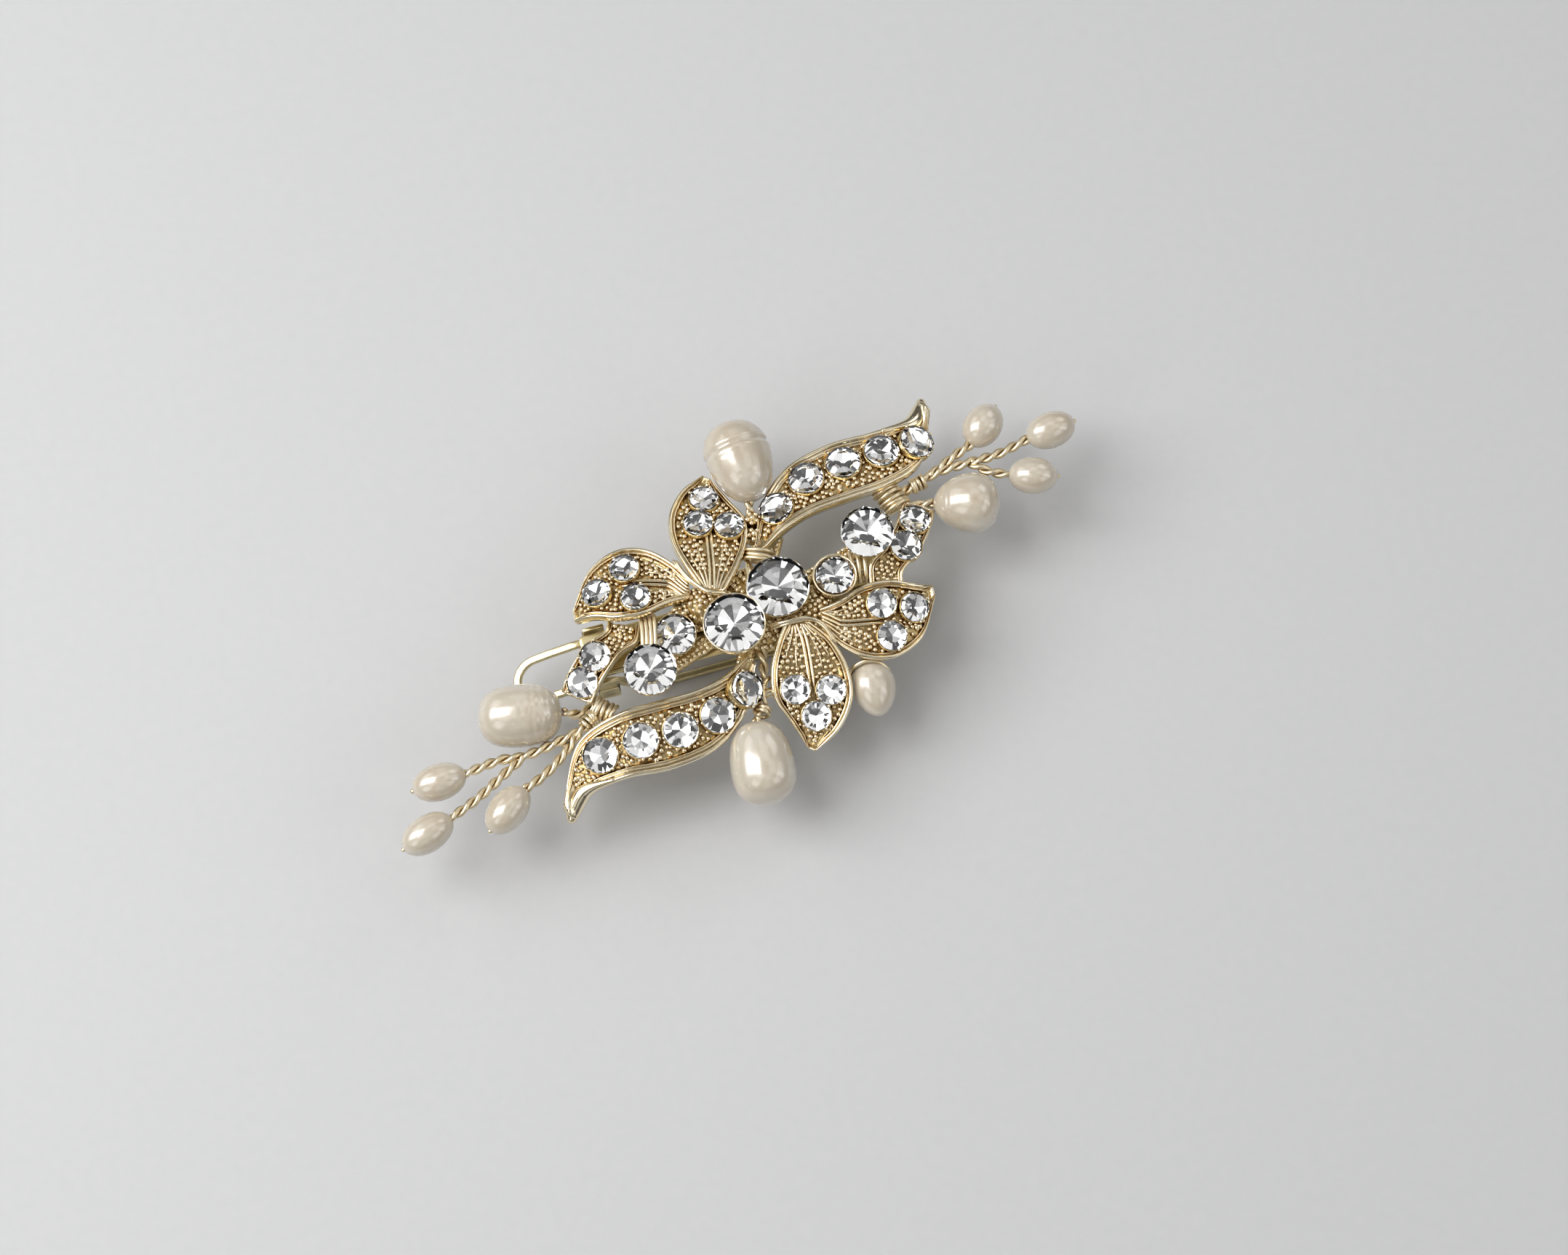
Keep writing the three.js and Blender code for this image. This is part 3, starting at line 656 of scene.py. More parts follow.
def blade_rings(surface, kind, root_wall, seats):
    """The closed section of a blade at each row, hollowed a little under each stone."""
    rows = np.linspace(0, 1, BLADE_ROWS)
    left, right = surface.at(rows, -1), surface.at(rows, 1)
    across = unit(right - left)
    normals = surface.normal(np.clip(rows, 0.02, 0.98), 0)
    widths = np.linalg.norm(right - left, axis=1)
    middle = (left + right) / 2
    walked = np.concatenate([[0], np.cumsum(np.linalg.norm(np.diff(middle, axis=0), axis=1))])
    rings = []
    for index, width in enumerate(widths):
        scale = min(kind["rim"], width / 4.6)
        to_tip = walked[-1] - walked[index]
        near = to_tip if not root_wall else min(to_tip, walked[index])
        wall = 1 - smooth_step(near / (kind["end"] if near == to_tip else 0.75))
        drop = 0.3 * (1 - math.sqrt(max(0, 1 - max(0, 1 - near / 0.3) ** 2)))

        def closed(place, height):
            bulge = kind["crown"] * (1 - (2 * place / width - 1) ** 2) * min(1, width / 3)
            return height * (1 - wall) + bulge * wall

        half = [
            (inset * scale, closed(inset * scale, height) if inset > 0.4 else height)
            for inset, height in kind["section"]
        ]
        floor_from = half[-1][0]
        inner = np.linspace(floor_from, width - floor_from, FLOOR_COLUMNS)[1:-1]
        top = (
            half
            + [(place, closed(place, -FLOOR_DEPTH)) for place in inner]
            + [(width - inset, height) for inset, height in reversed(half)]
        )
        under = [
            (width * (1 - share), -UNDERSIDE + 0.12 * abs(2 * share - 1) ** 3)
            for share in np.linspace(0.06, 0.94, 8)
        ]
        ring = [
            left[index] + across[index] * place + normals[index] * (height - drop * (height > -0.9))
            for place, height in top + under
        ]
        for column in range(len(half), len(half) + len(inner)):
            away = min(np.linalg.norm(ring[column] - seat) for seat in seats)
            sunk = SEAT_DEPTH * max(0.0, 1 - away / (kind["radius"] * 0.9))
            ring[column] = ring[column] - normals[index] * sunk
        rings.append(ring)
    return rings, len(top)


def smooth_step(value):
    value = min(max(value, 0), 1)
    return value * value * (3 - 2 * value)


def add_blade_body(shape, surface, blade, kind):
    seats = [surface.on_floor(u, v)[0] for u, v in blade["seats"]]
    rings, top_count = blade_rings(surface, kind, blade.get("root_wall"), seats)
    shape.rings(rings, POLISHED)
    columns = len(rings[0])
    floor_from = len(kind["section"]) - 2
    floor_to = top_count - len(kind["section"])
    # The floor faces take the grained gold, with real pits and painted shade in its darker colour.
    grained_and_shaded = shape.materials.index(GRAINED_SHADED)
    last_row = int(BLADE_ROWS * GRAIN_ENDS[blade["kind"]])
    for row in range(last_row):
        for column in range(floor_from, floor_to + 1):
            shape.slots[row * columns + column] = grained_and_shaded


def vein_lean(blade, along):
    """How far a leaf's middle vein bends sideways towards its root, in v."""
    return blade.get("lean", 0) * np.maximum(0, 1 - along / 0.22) ** 1.5


def add_veins(shape, surface, blade):
    """Two ridges up the middle and three that fan to each side of them at the root."""
    ridges = [(-0.27, VEIN_REACH, 0.0, 0.22), (0.27, VEIN_REACH, 0.0, 0.22)]
    for side in (-1, 1):
        ridges += [
            (side * 0.32, 0.40, 0.26, 0.17), (side * 0.36, 0.33, 0.52, 0.16),
            (side * 0.36, 0.46, 0.82, 0.14),
        ]
    for offset, reach, spread, radius in ridges:
        along = np.linspace(0.0, reach, 30)
        half_width = surface.width(along) / 2
        sideways = np.sign(offset) * spread * (0.35 + 0.65 * np.minimum(along / 0.3, 1))
        middle = vein_lean(blade, along) * (1 - spread)
        v = np.clip(offset / half_width + sideways + middle, -0.86, 0.86)
        swell = radius * np.minimum(1, (reach - along) / 0.12 + 0.35)
        add_tube(shape, surface.on_floor(along, v, 0.10), swell, 8, POLISHED, flat=(1, 1.35))


def add_grain(shape, surface, blade, kind, source):
    """Scatters cast beads over the floor between the stones, veins and rims."""
    rim = kind["section"][-1][0] * kind["rim"] + 0.12
    seats = [surface.on_floor(u, v)[0] for u, v in blade["seats"]]
    length = np.linalg.norm(np.diff(surface.at(np.linspace(0, 1, 40), 0), axis=0), axis=1).sum()
    rows = int(length / (GRAIN_PITCH * 0.87))
    last = GRAIN_ENDS[blade["kind"]]
    for row in range(1, rows):
        u = row / rows
        width = float(surface.width(u)[0])
        columns = int(width / GRAIN_PITCH) + 2
        vein = float(vein_lean(blade, u)) * width / 2
        for column in range(-columns, columns + 1):
            across = (column + 0.5 * (row % 2)) * GRAIN_PITCH + source.uniform(-0.15, 0.15)
            if abs(across) > width / 2 - rim or u > last:
                continue
            if blade["kind"] == "leaf" and u < BARE_ROOT:
                continue
            if blade["kind"] == "leaf" and u < VEIN_REACH and abs(across - vein) < VEIN_CLEARANCE:
                continue
            here_u = min(max(u + source.uniform(-0.01, 0.01), 0.01), 0.97)
            place = surface.on_floor(here_u, across / (width / 2), 0.15)[0]
            radius = source.uniform(0.23, 0.36)
            away = min(np.linalg.norm(place - seat) for seat in seats)
            if away < kind["radius"] + radius * 0.45:
                continue
            add_bead(shape, place, radius, (1, 1, source.uniform(0.8, 1.1)), POLISHED)


def add_curl(shape, surface):
    """A long ribbon's lower rim swells into a smooth horn at the tip."""
    along = np.linspace(CURL_FROM, 1.0, 34)
    share = np.array([smooth_step((place - CURL_FROM) / CURL_GROWS) for place in along])
    ending = np.sqrt(np.clip((1.0 - along) / CURL_ENDS, 0, 1))
    radius = (0.34 + 0.80 * share) * (0.52 + 0.48 * ending)
    edge = surface.at(along, -1)
    inward = unit(surface.at(along, 1) - edge)
    path = edge + inward * radius[:, None] * 0.96 - np.outer(radius * 0.72, (0, 0, 1))
    tip = path[-1] + unit(path[-1] - path[-4]) * np.array([[0.22], [0.42], [0.52]])
    tip_radius = radius[-1] * np.array([0.90, 0.62, 0.26])
    add_tube(shape, np.vstack([path, tip]), np.concatenate([radius, tip_radius]), 20, POLISHED)


def add_seat(shape, place, normal, radius, lift, source):
    """The collar a stone rests in, and the four grains raised round it."""
    outer = radius + 0.14
    profile = [
        (outer, -0.2), (outer, lift - 0.16), (radius + 0.02, lift - 0.1),
        (radius * 0.9, lift - 0.4), (radius * 0.9, -0.2),
    ]
    # The collar takes the grained gold, darkened with painted shade.
    add_lathe(shape, profile, place, normal, 28, GRAINED_SHADED, closed=True)
    side, up = square_to(normal)
    start = source.uniform(0, TAU)
    for quarter in range(4):
        angle = start + quarter * TAU / 4
        out = side * math.cos(angle) + up * math.sin(angle)
        grain = place + out * (radius + 0.12) + normal * (lift + 0.02)
        add_bead(shape, grain, 0.2, (1, 1, 1), POLISHED)


def add_blade(blade, source):
    surface = Surface(blade["rows"], blade.get("spread", (0, 0)), blade.get("root", (0, 0, 0)))
    kind = KINDS[blade["kind"]]
    name = blade["name"]
    placed = blade.get("turn", 0), blade.get("shift", (0, 0))
    body = Shape(POLISHED, GRAINED_SHADED)
    add_blade_body(body, surface, blade, kind)
    leaf = blade["kind"] == "leaf"
    if leaf:
        add_veins(body, surface, blade)
    if blade["kind"] == "long":
        add_curl(body, surface)
    add_grain(body, surface, blade, kind, source)
    for index, (u, v) in enumerate(blade["seats"]):
        seat = surface.on_floor(u, v)[0]
        tilt = blade.get("tilts", {}).get(index)
        normal = surface.normal(u, v)[0] if tilt is None else unit(np.array(tilt))
        radius = kind["radius"]
        lift = kind["lift"] + blade.get("raise", {}).get(index, 0)
        add_seat(body, seat, normal, radius, lift, source)
        stone = Shape(CRYSTAL, FOIL)
        add_stone(stone, seat + normal * lift, normal, radius, 10, source.uniform(0, TAU))
        stone.turn(*placed)
        stands_for = [f"{name}_stone_{index + 1}"] if leaf else []
        stone.piece(f"{name}_crystal_{index + 1}", FLOWER, "crystal", *stands_for)
    body.turn(*placed)
    body.piece(f"{name}_casting", FLOWER, "cast_gold", name)


# ---- Cups and their stones ----

# How large each stone is drawn against its CAD solid, how far the metal stands out beside it,
# and how far it rises above the girdle: the wired stones hide their cups.
CUPS = {
    ("center", "left"): (0.98, 0.18, 0.20), ("center", "right"): (1.02, 0.10, 0.08),
    ("side", "left"): (0.93, 0.12, 0.06), ("side", "right"): (0.86, 0.42, 0.16),
    ("wired", "left"): (1.02, -0.06, -0.14), ("wired", "right"): (1.02, -0.06, -0.14),
}
CUP_SPIN = {"left": 0.11, "right": 0.37}


def add_cup(name, side):
    scale, wall, lip = CUPS[name, side]
    stone_node = f"{name}_stone_{side}"
    cup_node = f"{name}_cup_{side}"
    low, high = box_here(stone_node)
    foot = box_here(cup_node)[0][2]
    radius = (high[0] - low[0]) / 2 * scale
    place = (low + high) / 2
    place[2] = high[2] - radius * 0.42
    girdle = place[2]
    base = low[2] - 0.35
    up = (0, 0, 1)
    cup = Shape(POLISHED, GRAINED_SHADED)
    post = radius * 0.3
    outer = radius + wall
    inner = radius + min(wall, 0.04)
    profile = [
        (0, foot), (post, foot), (post, base - 0.35), (post * 1.5, base - 0.1),
        (radius * 0.55, base), (radius * 0.9, girdle - 0.95), (outer - 0.08, girdle - 0.50),
        (outer, girdle - 0.42), (outer + 0.03, girdle - 0.34), (outer - 0.02, girdle - 0.24),
        (outer, girdle + min(lip, 0) - 0.06), (outer, girdle + lip - 0.05),
        (outer - 0.05, girdle + lip), (max(outer - 0.16, inner), girdle + lip - 0.02),
        (inner, girdle - 0.3), (radius * 0.6, base + 0.3), (0, base + 0.3),
    ]
    heights = [(size, height - girdle) for size, height in profile]
    add_lathe(cup, heights, place, up, 64, POLISHED)
    # Grains low on the outer wall, in the grained gold darkened with painted shade.
    grains = int(TAU * radius / 0.52)
    for index in range(grains):
        angle = index / grains * TAU
        out = np.array((math.cos(angle), math.sin(angle), 0)) * (outer - 0.16)
        add_bead(cup, place + out - (0, 0, 0.78), 0.19, (1, 1, 1.1), GRAINED_SHADED)
    cup.piece(f"{name}_bezel_{side}", FLOWER, "cast_gold", cup_node)
    stone = Shape(CRYSTAL, FOIL)
    add_stone(stone, place, up, radius, 12, CUP_SPIN[side])
    stone.piece(f"{name}_crystal_{side}", FLOWER, "crystal", stone_node)


# ---- Pearls ----

# The drilled axis runs along heading, in degrees, and its far end takes the stem.
# blunt and taper shape the ends; grooves are (place, depth, breadth).
PEARLS = [
    {"name": "pearl_left", "length": 10.0, "width": 7.6, "heading": -10, "blunt": 0.5,
     "grooves": [(0.05, 0.05, 1), (0.3, 0.09, 1), (0.47, 0.07, 1), (0.66, 0.06, 1)]},
    {"name": "pearl_right", "length": 8.0, "width": 7.1, "heading": 166, "blunt": 0.1,
     "taper": 0.22, "grooves": [(0.6, 0.05, 1)]},
    {"name": "pearl_back", "length": 10.4, "width": 7.9, "heading": -86, "blunt": 0.3,
     "taper": 0.14, "grooves": [(-0.26, 0.34, 1.7), (-0.05, 0.05, 1), (0.5, 0.05, 1)]},
    {"name": "pearl_front", "length": 10.1, "width": 7.6, "heading": 84, "blunt": 0.45,
     "taper": 0.08, "grooves": [(0.72, 0.05, 1)]},
    {"name": "pearl_button", "length": 6.6, "width": 5.3, "heading": -92, "blunt": 0.1,
     "taper": 0.2},
]
# Each spray's rice pearls: length, width and heading.
RICE = {
    "left": [(6.6, 4.4, 4), (6.8, 4.4, 19), (6.6, 4.5, 36)],
    "right": [(5.8, 4.6, 222), (6.2, 4.4, 186), (6.0, 4.5, 162)],
}
for side, grains in RICE.items():
    for number, (length, width, heading) in enumerate(grains, 1):
        name = f"rice_pearl_{side}_{number}"
        PEARLS.append({"name": name, "length": length, "width": width, "heading": heading})


def pearl_radius(pearl, along):
    """The pearl's radius at a place from -1 to 1 along its axis."""
    blunt = pearl.get("blunt", 0)
    round_end = math.sqrt(max(1 - along * along, 0))
    full = math.sqrt(1 - abs(along) ** 5)
    radius = (round_end * (1 - blunt) + full * blunt) * (1 - pearl.get("taper", 0) * along)
    radius *= pearl["width"] / 2
    for place, depth, breadth in pearl.get("grooves", []):
        radius -= depth * math.exp(-(((along - place) / (0.035 * breadth)) ** 2))
        radius += depth * 0.35 * math.exp(-(((along - place) / (0.11 * breadth)) ** 2))
    return max(radius, 1e-3)


def add_pearl(pearl, source):
    place = middle_of(pearl["name"]) - SHIFT
    heading = math.radians(pearl["heading"])
    axis = np.array((math.cos(heading), math.sin(heading), 0))
    side = np.array((-math.sin(heading), math.cos(heading), 0))
    up = np.array((0, 0, 1.0))
    segments = 48
    angles = np.arange(segments) / segments * TAU
    lobe = [source.uniform(0, TAU) for _ in range(3)]
    large = pearl["width"] > 5
    swell = 0.014 if large else 0.008
    rings = []
    for step in np.linspace(0.012, 0.988, 64):
        along = -math.cos(step * math.pi)
        uneven = 1 + swell * (
            np.sin(2 * angles + lobe[0] + along)
            + 0.6 * np.sin(3 * angles + lobe[1] - 2 * along)
            + 0.4 * np.sin(angles + lobe[2] + 3 * along)
        )
        radius = pearl_radius(pearl, along) * uneven
        ring = side * (np.cos(angles) * radius)[:, None] + up * (np.sin(angles) * radius)[:, None]
        rings.append(place + ring + axis * along * pearl["length"] / 2)
    shape = Shape(PEARL)
    shape.rings(rings)
    shape.piece(f"{pearl['name']}_nacre", FLOWER, "pearl", pearl["name"])


# ---- Wires ----

# Radius of one strand of a twisted stem, the length of one full twist, and the radius of the
# single wire that binds the pieces together.
STRAND = 0.32
TWIST = 3.5
BINDING = 0.27

SPRAYS = {
    "left": [
        [(-21.9, -7.4, 10.9), (-23.7, -8.6, 10.7), (-26.6, -9.3, 10.5), (-31.4, -10.0, 10.5),
         (-34.2, -9.7, 10.5), (-38.8, -10.2, 10.5)],
        [(-31.4, -10.0, 10.5), (-34.6, -11.7, 10.5), (-38.0, -13.5, 10.5), (-41.7, -15.0, 10.5)],
        [(-24.4, -8.9, 10.6), (-26.9, -11.1, 10.5), (-29.5, -12.8, 10.5), (-32.4, -14.0, 10.5)],
    ],
    "right": [
        [(19.9, 8.9, 10.4), (21.6, 9.6, 10.4), (25.5, 10.6, 10.6), (29.0, 10.7, 10.8),
         (33.2, 10.8, 10.8), (37.3, 11.7, 10.8)],
        [(24.5, 10.4, 10.5), (27.6, 11.8, 10.8), (30.6, 13.0, 10.8)],
        [(29.6, 10.7, 10.8), (31.6, 8.9, 10.8), (33.8, 7.9, 10.8)],
    ],
}

PEARL_STEMS = {
    "left": [(-25.6, -6.1, 11.0), (-24.2, -6.6, 10.2), (-22.6, -6.2, 9.4), (-20.6, -5.2, 9.2)],
    "right": [(24.1, 7.0, 10.6), (22.2, 7.4, 10.1), (20.8, 7.9, 9.7)],
    "back": [(2.6, 12.8, 12.2), (2.4, 11.0, 11.2), (2.1, 9.2, 10.8), (2.0, 7.2, 10.7)],
    "front": [(-4.0, -13.6, 10.6), (-3.0, -11.2, 10.2), (-2.0, -9.4, 10.3), (-1.2, -7.0, 10.4),
              (-0.8, -4.6, 10.4)],
    "button": [(10.7, -10.0, 9.6), (10.4, -8.6, 10.0), (9.6, -7.4, 10.3)],
}


# Loose turns of binding wire: how many lie side by side, the step in plan from one to the next,
# the spacing of their points, and the first one's route.
LOOSE_TURNS = [
    (4, (0.52, 0), 0.25, [(-13.7, 2.3, 11.4), (-13.8, 1.9, 12.6), (-14.1, 0.0, 13.1),
                          (-14.5, -1.6, 12.9), (-14.9, -2.8, 12.3)]),
    (3, (0.75, -0.2), 0.25, [(12.4, 3.4, 12.2), (12.3, 2.2, 12.7), (12.0, 0.6, 12.4),
                             (11.9, -0.4, 11.4)]),
    (1, (0, 0), 0.2, [(-0.7, -9.3, 10.6), (-1.1, -9.0, 11.5), (-1.9, -9.6, 11.9),
                      (-2.3, -10.8, 11.7), (-2.3, -12.0, 11.1)]),
    (1, (0, 0), 0.2, [(8.3, -11.0, 9.6), (8.8, -10.4, 10.9), (10.2, -10.1, 11.5),
                      (11.6, -10.4, 11.4), (12.7, -11.3, 10.7), (13.1, -12.2, 9.8)]),
]


def add_twisted(shape, route, start=0.0):
    """Two strands twisted together along a route."""
    path = even_path(route, TWIST / 16)
    side, up = path_frames(path)
    walked = np.arange(len(path)) * np.linalg.norm(path[1] - path[0])
    for phase in (start, start + math.pi):
        angle = (walked / TWIST * TAU + phase)[:, None]
        strand = path + STRAND * (np.cos(angle) * side + np.sin(angle) * up)
        add_tube(shape, strand, STRAND, 8)


def add_coil(shape, middle, axis, wide, thick, turns, pitch):
    """A wire wound by hand round an axis in flattened turns: thick is measured along Z."""
    axis = unit(np.asarray(axis, float))
    side = unit(np.cross(axis, (0, 0, 1)))
    up = np.cross(side, axis)
    steps = int(turns * 22)
    angles = np.linspace(0, turns * TAU, steps + 1)
    along = (angles / TAU - turns / 2) * pitch + 0.12 * np.sin(0.71 * angles)
    slack = 1 + 0.06 * np.sin(0.43 * angles)
    path = (
        np.asarray(middle, float)
        + axis * along[:, None]
        + side * (wide * slack * np.cos(angles))[:, None]
        + up * (thick * slack * np.sin(angles))[:, None]
    )
    add_tube(shape, path, BINDING, 8)


def add_spray(side):
    shape = Shape(WIRE)
    for index, route in enumerate(SPRAYS[side]):
        add_twisted(shape, route, index * 1.1)
    for pearl in PEARLS:
        if not pearl["name"].startswith(f"rice_pearl_{side}"):
            continue
        heading = math.radians(pearl["heading"])
        axis = np.array((math.cos(heading), math.sin(heading), 0))
        tip = middle_of(pearl["name"]) - SHIFT - axis * (pearl["length"] / 2 - 0.02)
        add_bead(shape, tip, 0.3, (1, 1, 0.8))
    shape.piece(f"spray_wire_{side}", FLOWER, "wire_gold", f"spray_stem_{side}")


def add_pearl_stems():
    for name, route in PEARL_STEMS.items():
        shape = Shape(WIRE)
        add_twisted(shape, route)
        shape.piece(f"pearl_wire_{name}", FLOWER, "wire_gold", f"pearl_stem_{name}")


def add_lashings():
    """Binding wire: tight turns round each spray's root, and the loose turns beside them."""
    for side, heading in (("left", 214), ("right", 14)):
        angle = math.radians(heading)
        axis = (math.cos(angle), math.sin(angle), 0)
        place = middle_of(f"lashing_{side}") - SHIFT
        shape = Shape(WIRE)
        add_coil(shape, place, axis, 0.74, 0.74, 4, 0.47)
        shape.piece(f"lashing_wire_{side}", FLOWER, "wire_gold", f"lashing_{side}")
    binding = Shape(WIRE)
    add_coil(binding, (19.2, 8.9, 10.9), (0.37, -0.96, 0), 1.5, 1.2, 5.5, 0.6)
    add_coil(binding, (-20.9, -7.4, 11.0), (1, -0.75, 0), 1.1, 1.0, 4.5, 0.55)
    add_coil(binding, (1.85, 5.8, 12.1), (0.33, 0.94, 0), 1.65, 0.95, 2.5, 0.62)
    add_coil(binding, (-2.8, -12.6, 10.9), (-0.5, -1, 0), 0.7, 0.7, 2.2, 0.6)
    for turns, (x, y), spacing, route in LOOSE_TURNS:
        for index in range(turns):
            moved = np.array(route) + (x * index, y * index, 0)
            add_tube(binding, even_path(moved, spacing), BINDING)
    binding.piece("binding_wire", FLOWER, "wire_gold")


# ---- Cast base ----

# Where each of the base's arms ends, and how high the post on its end stands.
BASE_ARMS = [
    (-9.4, 4.6, 11.5), (-3.4, 6.2, 11.6), (9.6, -5.0, 11.4), (3.4, -6.2, 11.6),
    (-4.6, -8.4, 10.9), (4.9, 8.8, 10.9), (-15.0, 0.2, 10.6), (15.0, 0.6, 10.6),
    (-13.9, -4.9, 11.6), (14.4, 4.2, 11.6),
]
BASE_MIDDLE = 10.35
# Grained domes that fill the gaps between the leaves: middle, radius, foot and top.
MOUNDS = [
    ((0, 0), 5.5, 9.9, 12.05), ((-6.4, 2.0), 2.3, 10.8, 13.1), ((-9.2, 1.0), 1.6, 10.6, 12.3),
    ((6.6, -2.0), 2.1, 10.6, 12.4), ((-5.0, 2.9), 1.7, 10.8, 13.3),
    ((4.2, -4.5), 2.0, 10.8, 13.2), ((2.1, 8.6), 1.1, 10.6, 12.4), ((2.4, 10.6), 1.1, 10.9, 12.5),
]
# The turned-over edges that cross the roots of the two end leaves.
ROOT_EDGES = [
    [(-7.9, 7.5, 13.5), (-7.5, 5.9, 13.8), (-6.7, 4.2, 14.1), (-5.6, 2.8, 14.2),
     (-4.4, 2.1, 14.1), (-3.2, 1.9, 13.7)],
    [(0.6, -3.3, 13.3), (1.9, -3.5, 13.8), (3.3, -3.6, 14.0), (4.9, -3.8, 14.1),
     (6.2, -4.6, 14.0), (7.0, -5.9, 13.8), (7.3, -7.3, 13.4)],
]
# Plain cast bars beside the roots of the back leaf and the front ribbon: route and radius.
SPRUES = [
    ([(0.7, 6.3, 11.4), (0.3, 4.6, 11.8), (-0.2, 2.8, 12.0)], 0.42),
    ([(-3.2, -10.5, 10.9), (-1.8, -10.6, 11.1), (-0.2, -10.7, 11.1)], 0.62),
]
BEAD_ROW = 0.62


def add_mound(shape, middle, radius, foot, top, source):
    """A low dome covered with cast beads."""
    def height(share):
        return top - (top - foot - 0.5) * share**2

    profile = [(0, foot), (radius * 0.95, foot), (radius, foot + 0.2)]
    profile += [(radius * share, height(share)) for share in (0.98, 0.85, 0.7, 0.5, 0.3, 0.15, 0)]
    add_lathe(shape, profile, (*middle, 0), (0, 0, 1), 40)
    for ring in range(int(radius / BEAD_ROW) + 1):
        distance = ring * BEAD_ROW
        count = max(int(TAU * distance / 0.72), 1)
        for index in range(count):
            angle = (index + 0.5 * (ring % 2)) / count * TAU + source.uniform(-0.08, 0.08)
            place = (
                middle[0] + math.cos(angle) * distance,
                middle[1] + math.sin(angle) * distance,
                height(min(distance / radius, 1)) + source.uniform(-0.08, 0.2),
            )
            add_bead(shape, place, source.uniform(0.26, 0.44), (1, 1, 1), POLISHED)


def add_base(source):
    # The domes, arms and posts take the grained gold, whose darker colour is painted shade; the
    # beads on them stay polished.
    shape = Shape(GRAINED_SHADED, POLISHED)
    for mound in MOUNDS:
        add_mound(shape, *mound, source)
    for x, y, top in BASE_ARMS:
        bar = [(x * share, y * share, BASE_MIDDLE) for share in (0, 0.5, 1)]
        add_tube(shape, even_path(bar, 0.8), 1.05, 12, flat=(1, 0.42))
        post = [(0, 9.95), (0.85, 9.95), (0.75, 10.6), (0.6, 11.0), (0.75, top), (0, top)]
        add_lathe(shape, post, (x, y, 0), (0, 0, 1), 16)
        reach = math.hypot(x, y)
        for step in np.arange(6.4, reach + 0.4, BEAD_ROW):
            for across in (-0.5, 0.15, 0.7):
                jitter = source.uniform(-0.15, 0.15)
                place = (
                    x / reach * step - y / reach * (across + jitter),
                    y / reach * step + x / reach * (across + jitter),
                    BASE_MIDDLE + 0.38,
                )
                add_bead(shape, place, source.uniform(0.22, 0.36), (1, 1, 0.9), POLISHED)
    for edge in ROOT_EDGES:
        path = even_path(edge, 0.3)
        add_tube(shape, path, 0.27, 10, POLISHED)
        add_tube(shape, path + unit(path - (0, 0, 13)) * 0.36 - (0, 0, 0.16), 0.18, 8, POLISHED)
    for bar, radius in SPRUES:
        add_tube(shape, even_path(bar, 0.3), radius, 12, POLISHED)
    shape.piece("flower_base_casting", FLOWER, "cast_gold", "flower_base")


# ---- Clip ----

PLATE_TOP = 9.6
PLATE_THICK = 0.6
CATCH_X = -19.4
# The hinge: the outer face and thickness of the plate's lugs, and the arm's eye and its bore.
LUG = 3.7
LUG_THICK = 0.5
EYE = 1.2
BORE = 0.62
# Half of the plate's outline seen from above: wide in the middle, necked beside it.
PLATE_EDGE = [
    (17.4, 3.7), (14.4, 3.7), (13.2, 2.75), (6.2, 2.75), (5.0, 3.9), (-9.0, 3.9),
    (-10.2, 2.75), (-21.4, 2.75),
]
ARM_WIDTH = 6.1
ARM_RAIL = 0.95
ARM_THICK = 0.8
LOOP_MIDDLE = -27.15
SLOT_END = 11.2
# The arm's middle seen from the side, as (x, z).
ARM_LINE = [
    (15.8, 6.9), (13.8, 4.7), (11.6, 2.2), (9.6, 0.9), (7.8, 0.4), (-12.4, 0.4), (-14.2, 1.2),
    (-16.2, 3.3), (-18.0, 5.7), (-19.6, 7.1), (-21.5, 7.55), (-25.5, 6.7), (-30.5, 4.9),
]
# A latch wing seen from the end: down from the plate, slightly inwards, then flared outwards.
WING_SECTION = [
    (3.7, 9.5), (3.2, 9.5), (3.2, 7.1), (3.1, 6.8), (3.2, 6.5), (4.15, 5.6), (4.5, 5.9),
    (3.7, 6.9),
]
# The spring's ends in x, and the bottom and height of its bow.
SPRING_FROM, SPRING_TO = -16.5, 12.5
SPRING_LOW, SPRING_RISE = 6.15, 1.85


def softened(points, step, window, closed):
    """Points an even step apart along straight lines, with the corners averaged away."""
    points = np.asarray(points, float)
    if closed:
        points = np.vstack([points, points[:1]])
    walked = np.concatenate([[0], np.cumsum(np.linalg.norm(np.diff(points, axis=0), axis=1))])
    target = np.linspace(0, walked[-1], int(walked[-1] / step) + 1)
    dense = np.stack([np.interp(target, walked, axis) for axis in points.T], axis=1)
    if closed:
        dense = dense[:-1]
        return sum(np.roll(dense, k, axis=0) for k in range(-window, window + 1)) / (2 * window + 1)
    padded = np.vstack([dense[:1]] * window + [dense] + [dense[-1:]] * window)
    return sum(padded[k:k + len(dense)] for k in range(2 * window + 1)) / (2 * window + 1)


def add_bar(shape, path, ups, width, thick, corner=0.16):
    """A flat bar with rounded corners along a path; ups is the direction square to its face."""
    path = np.asarray(path, float)
    tangents = unit(np.gradient(path, axis=0))
    sides = unit(np.cross(tangents, ups))
    section = []
    for start, across, rise in ((0, 1, 1), (90, -1, 1), (180, -1, -1), (270, 1, -1)):
        for step in (0, 30, 60, 90):
            angle = math.radians(start + step)
            section.append((
                across * (width / 2 - corner) + corner * math.cos(angle),
                rise * (thick / 2 - corner) + corner * math.sin(angle),
            ))
    rings = []
    last = len(path) - 1
    for index, place in enumerate(path):
        shrink = 0.88 if index in (0, last) else 1
        rings.append([
            place + sides[index] * across * shrink + ups[index] * rise * shrink
            for across, rise in section
        ])
    shape.rings(rings)


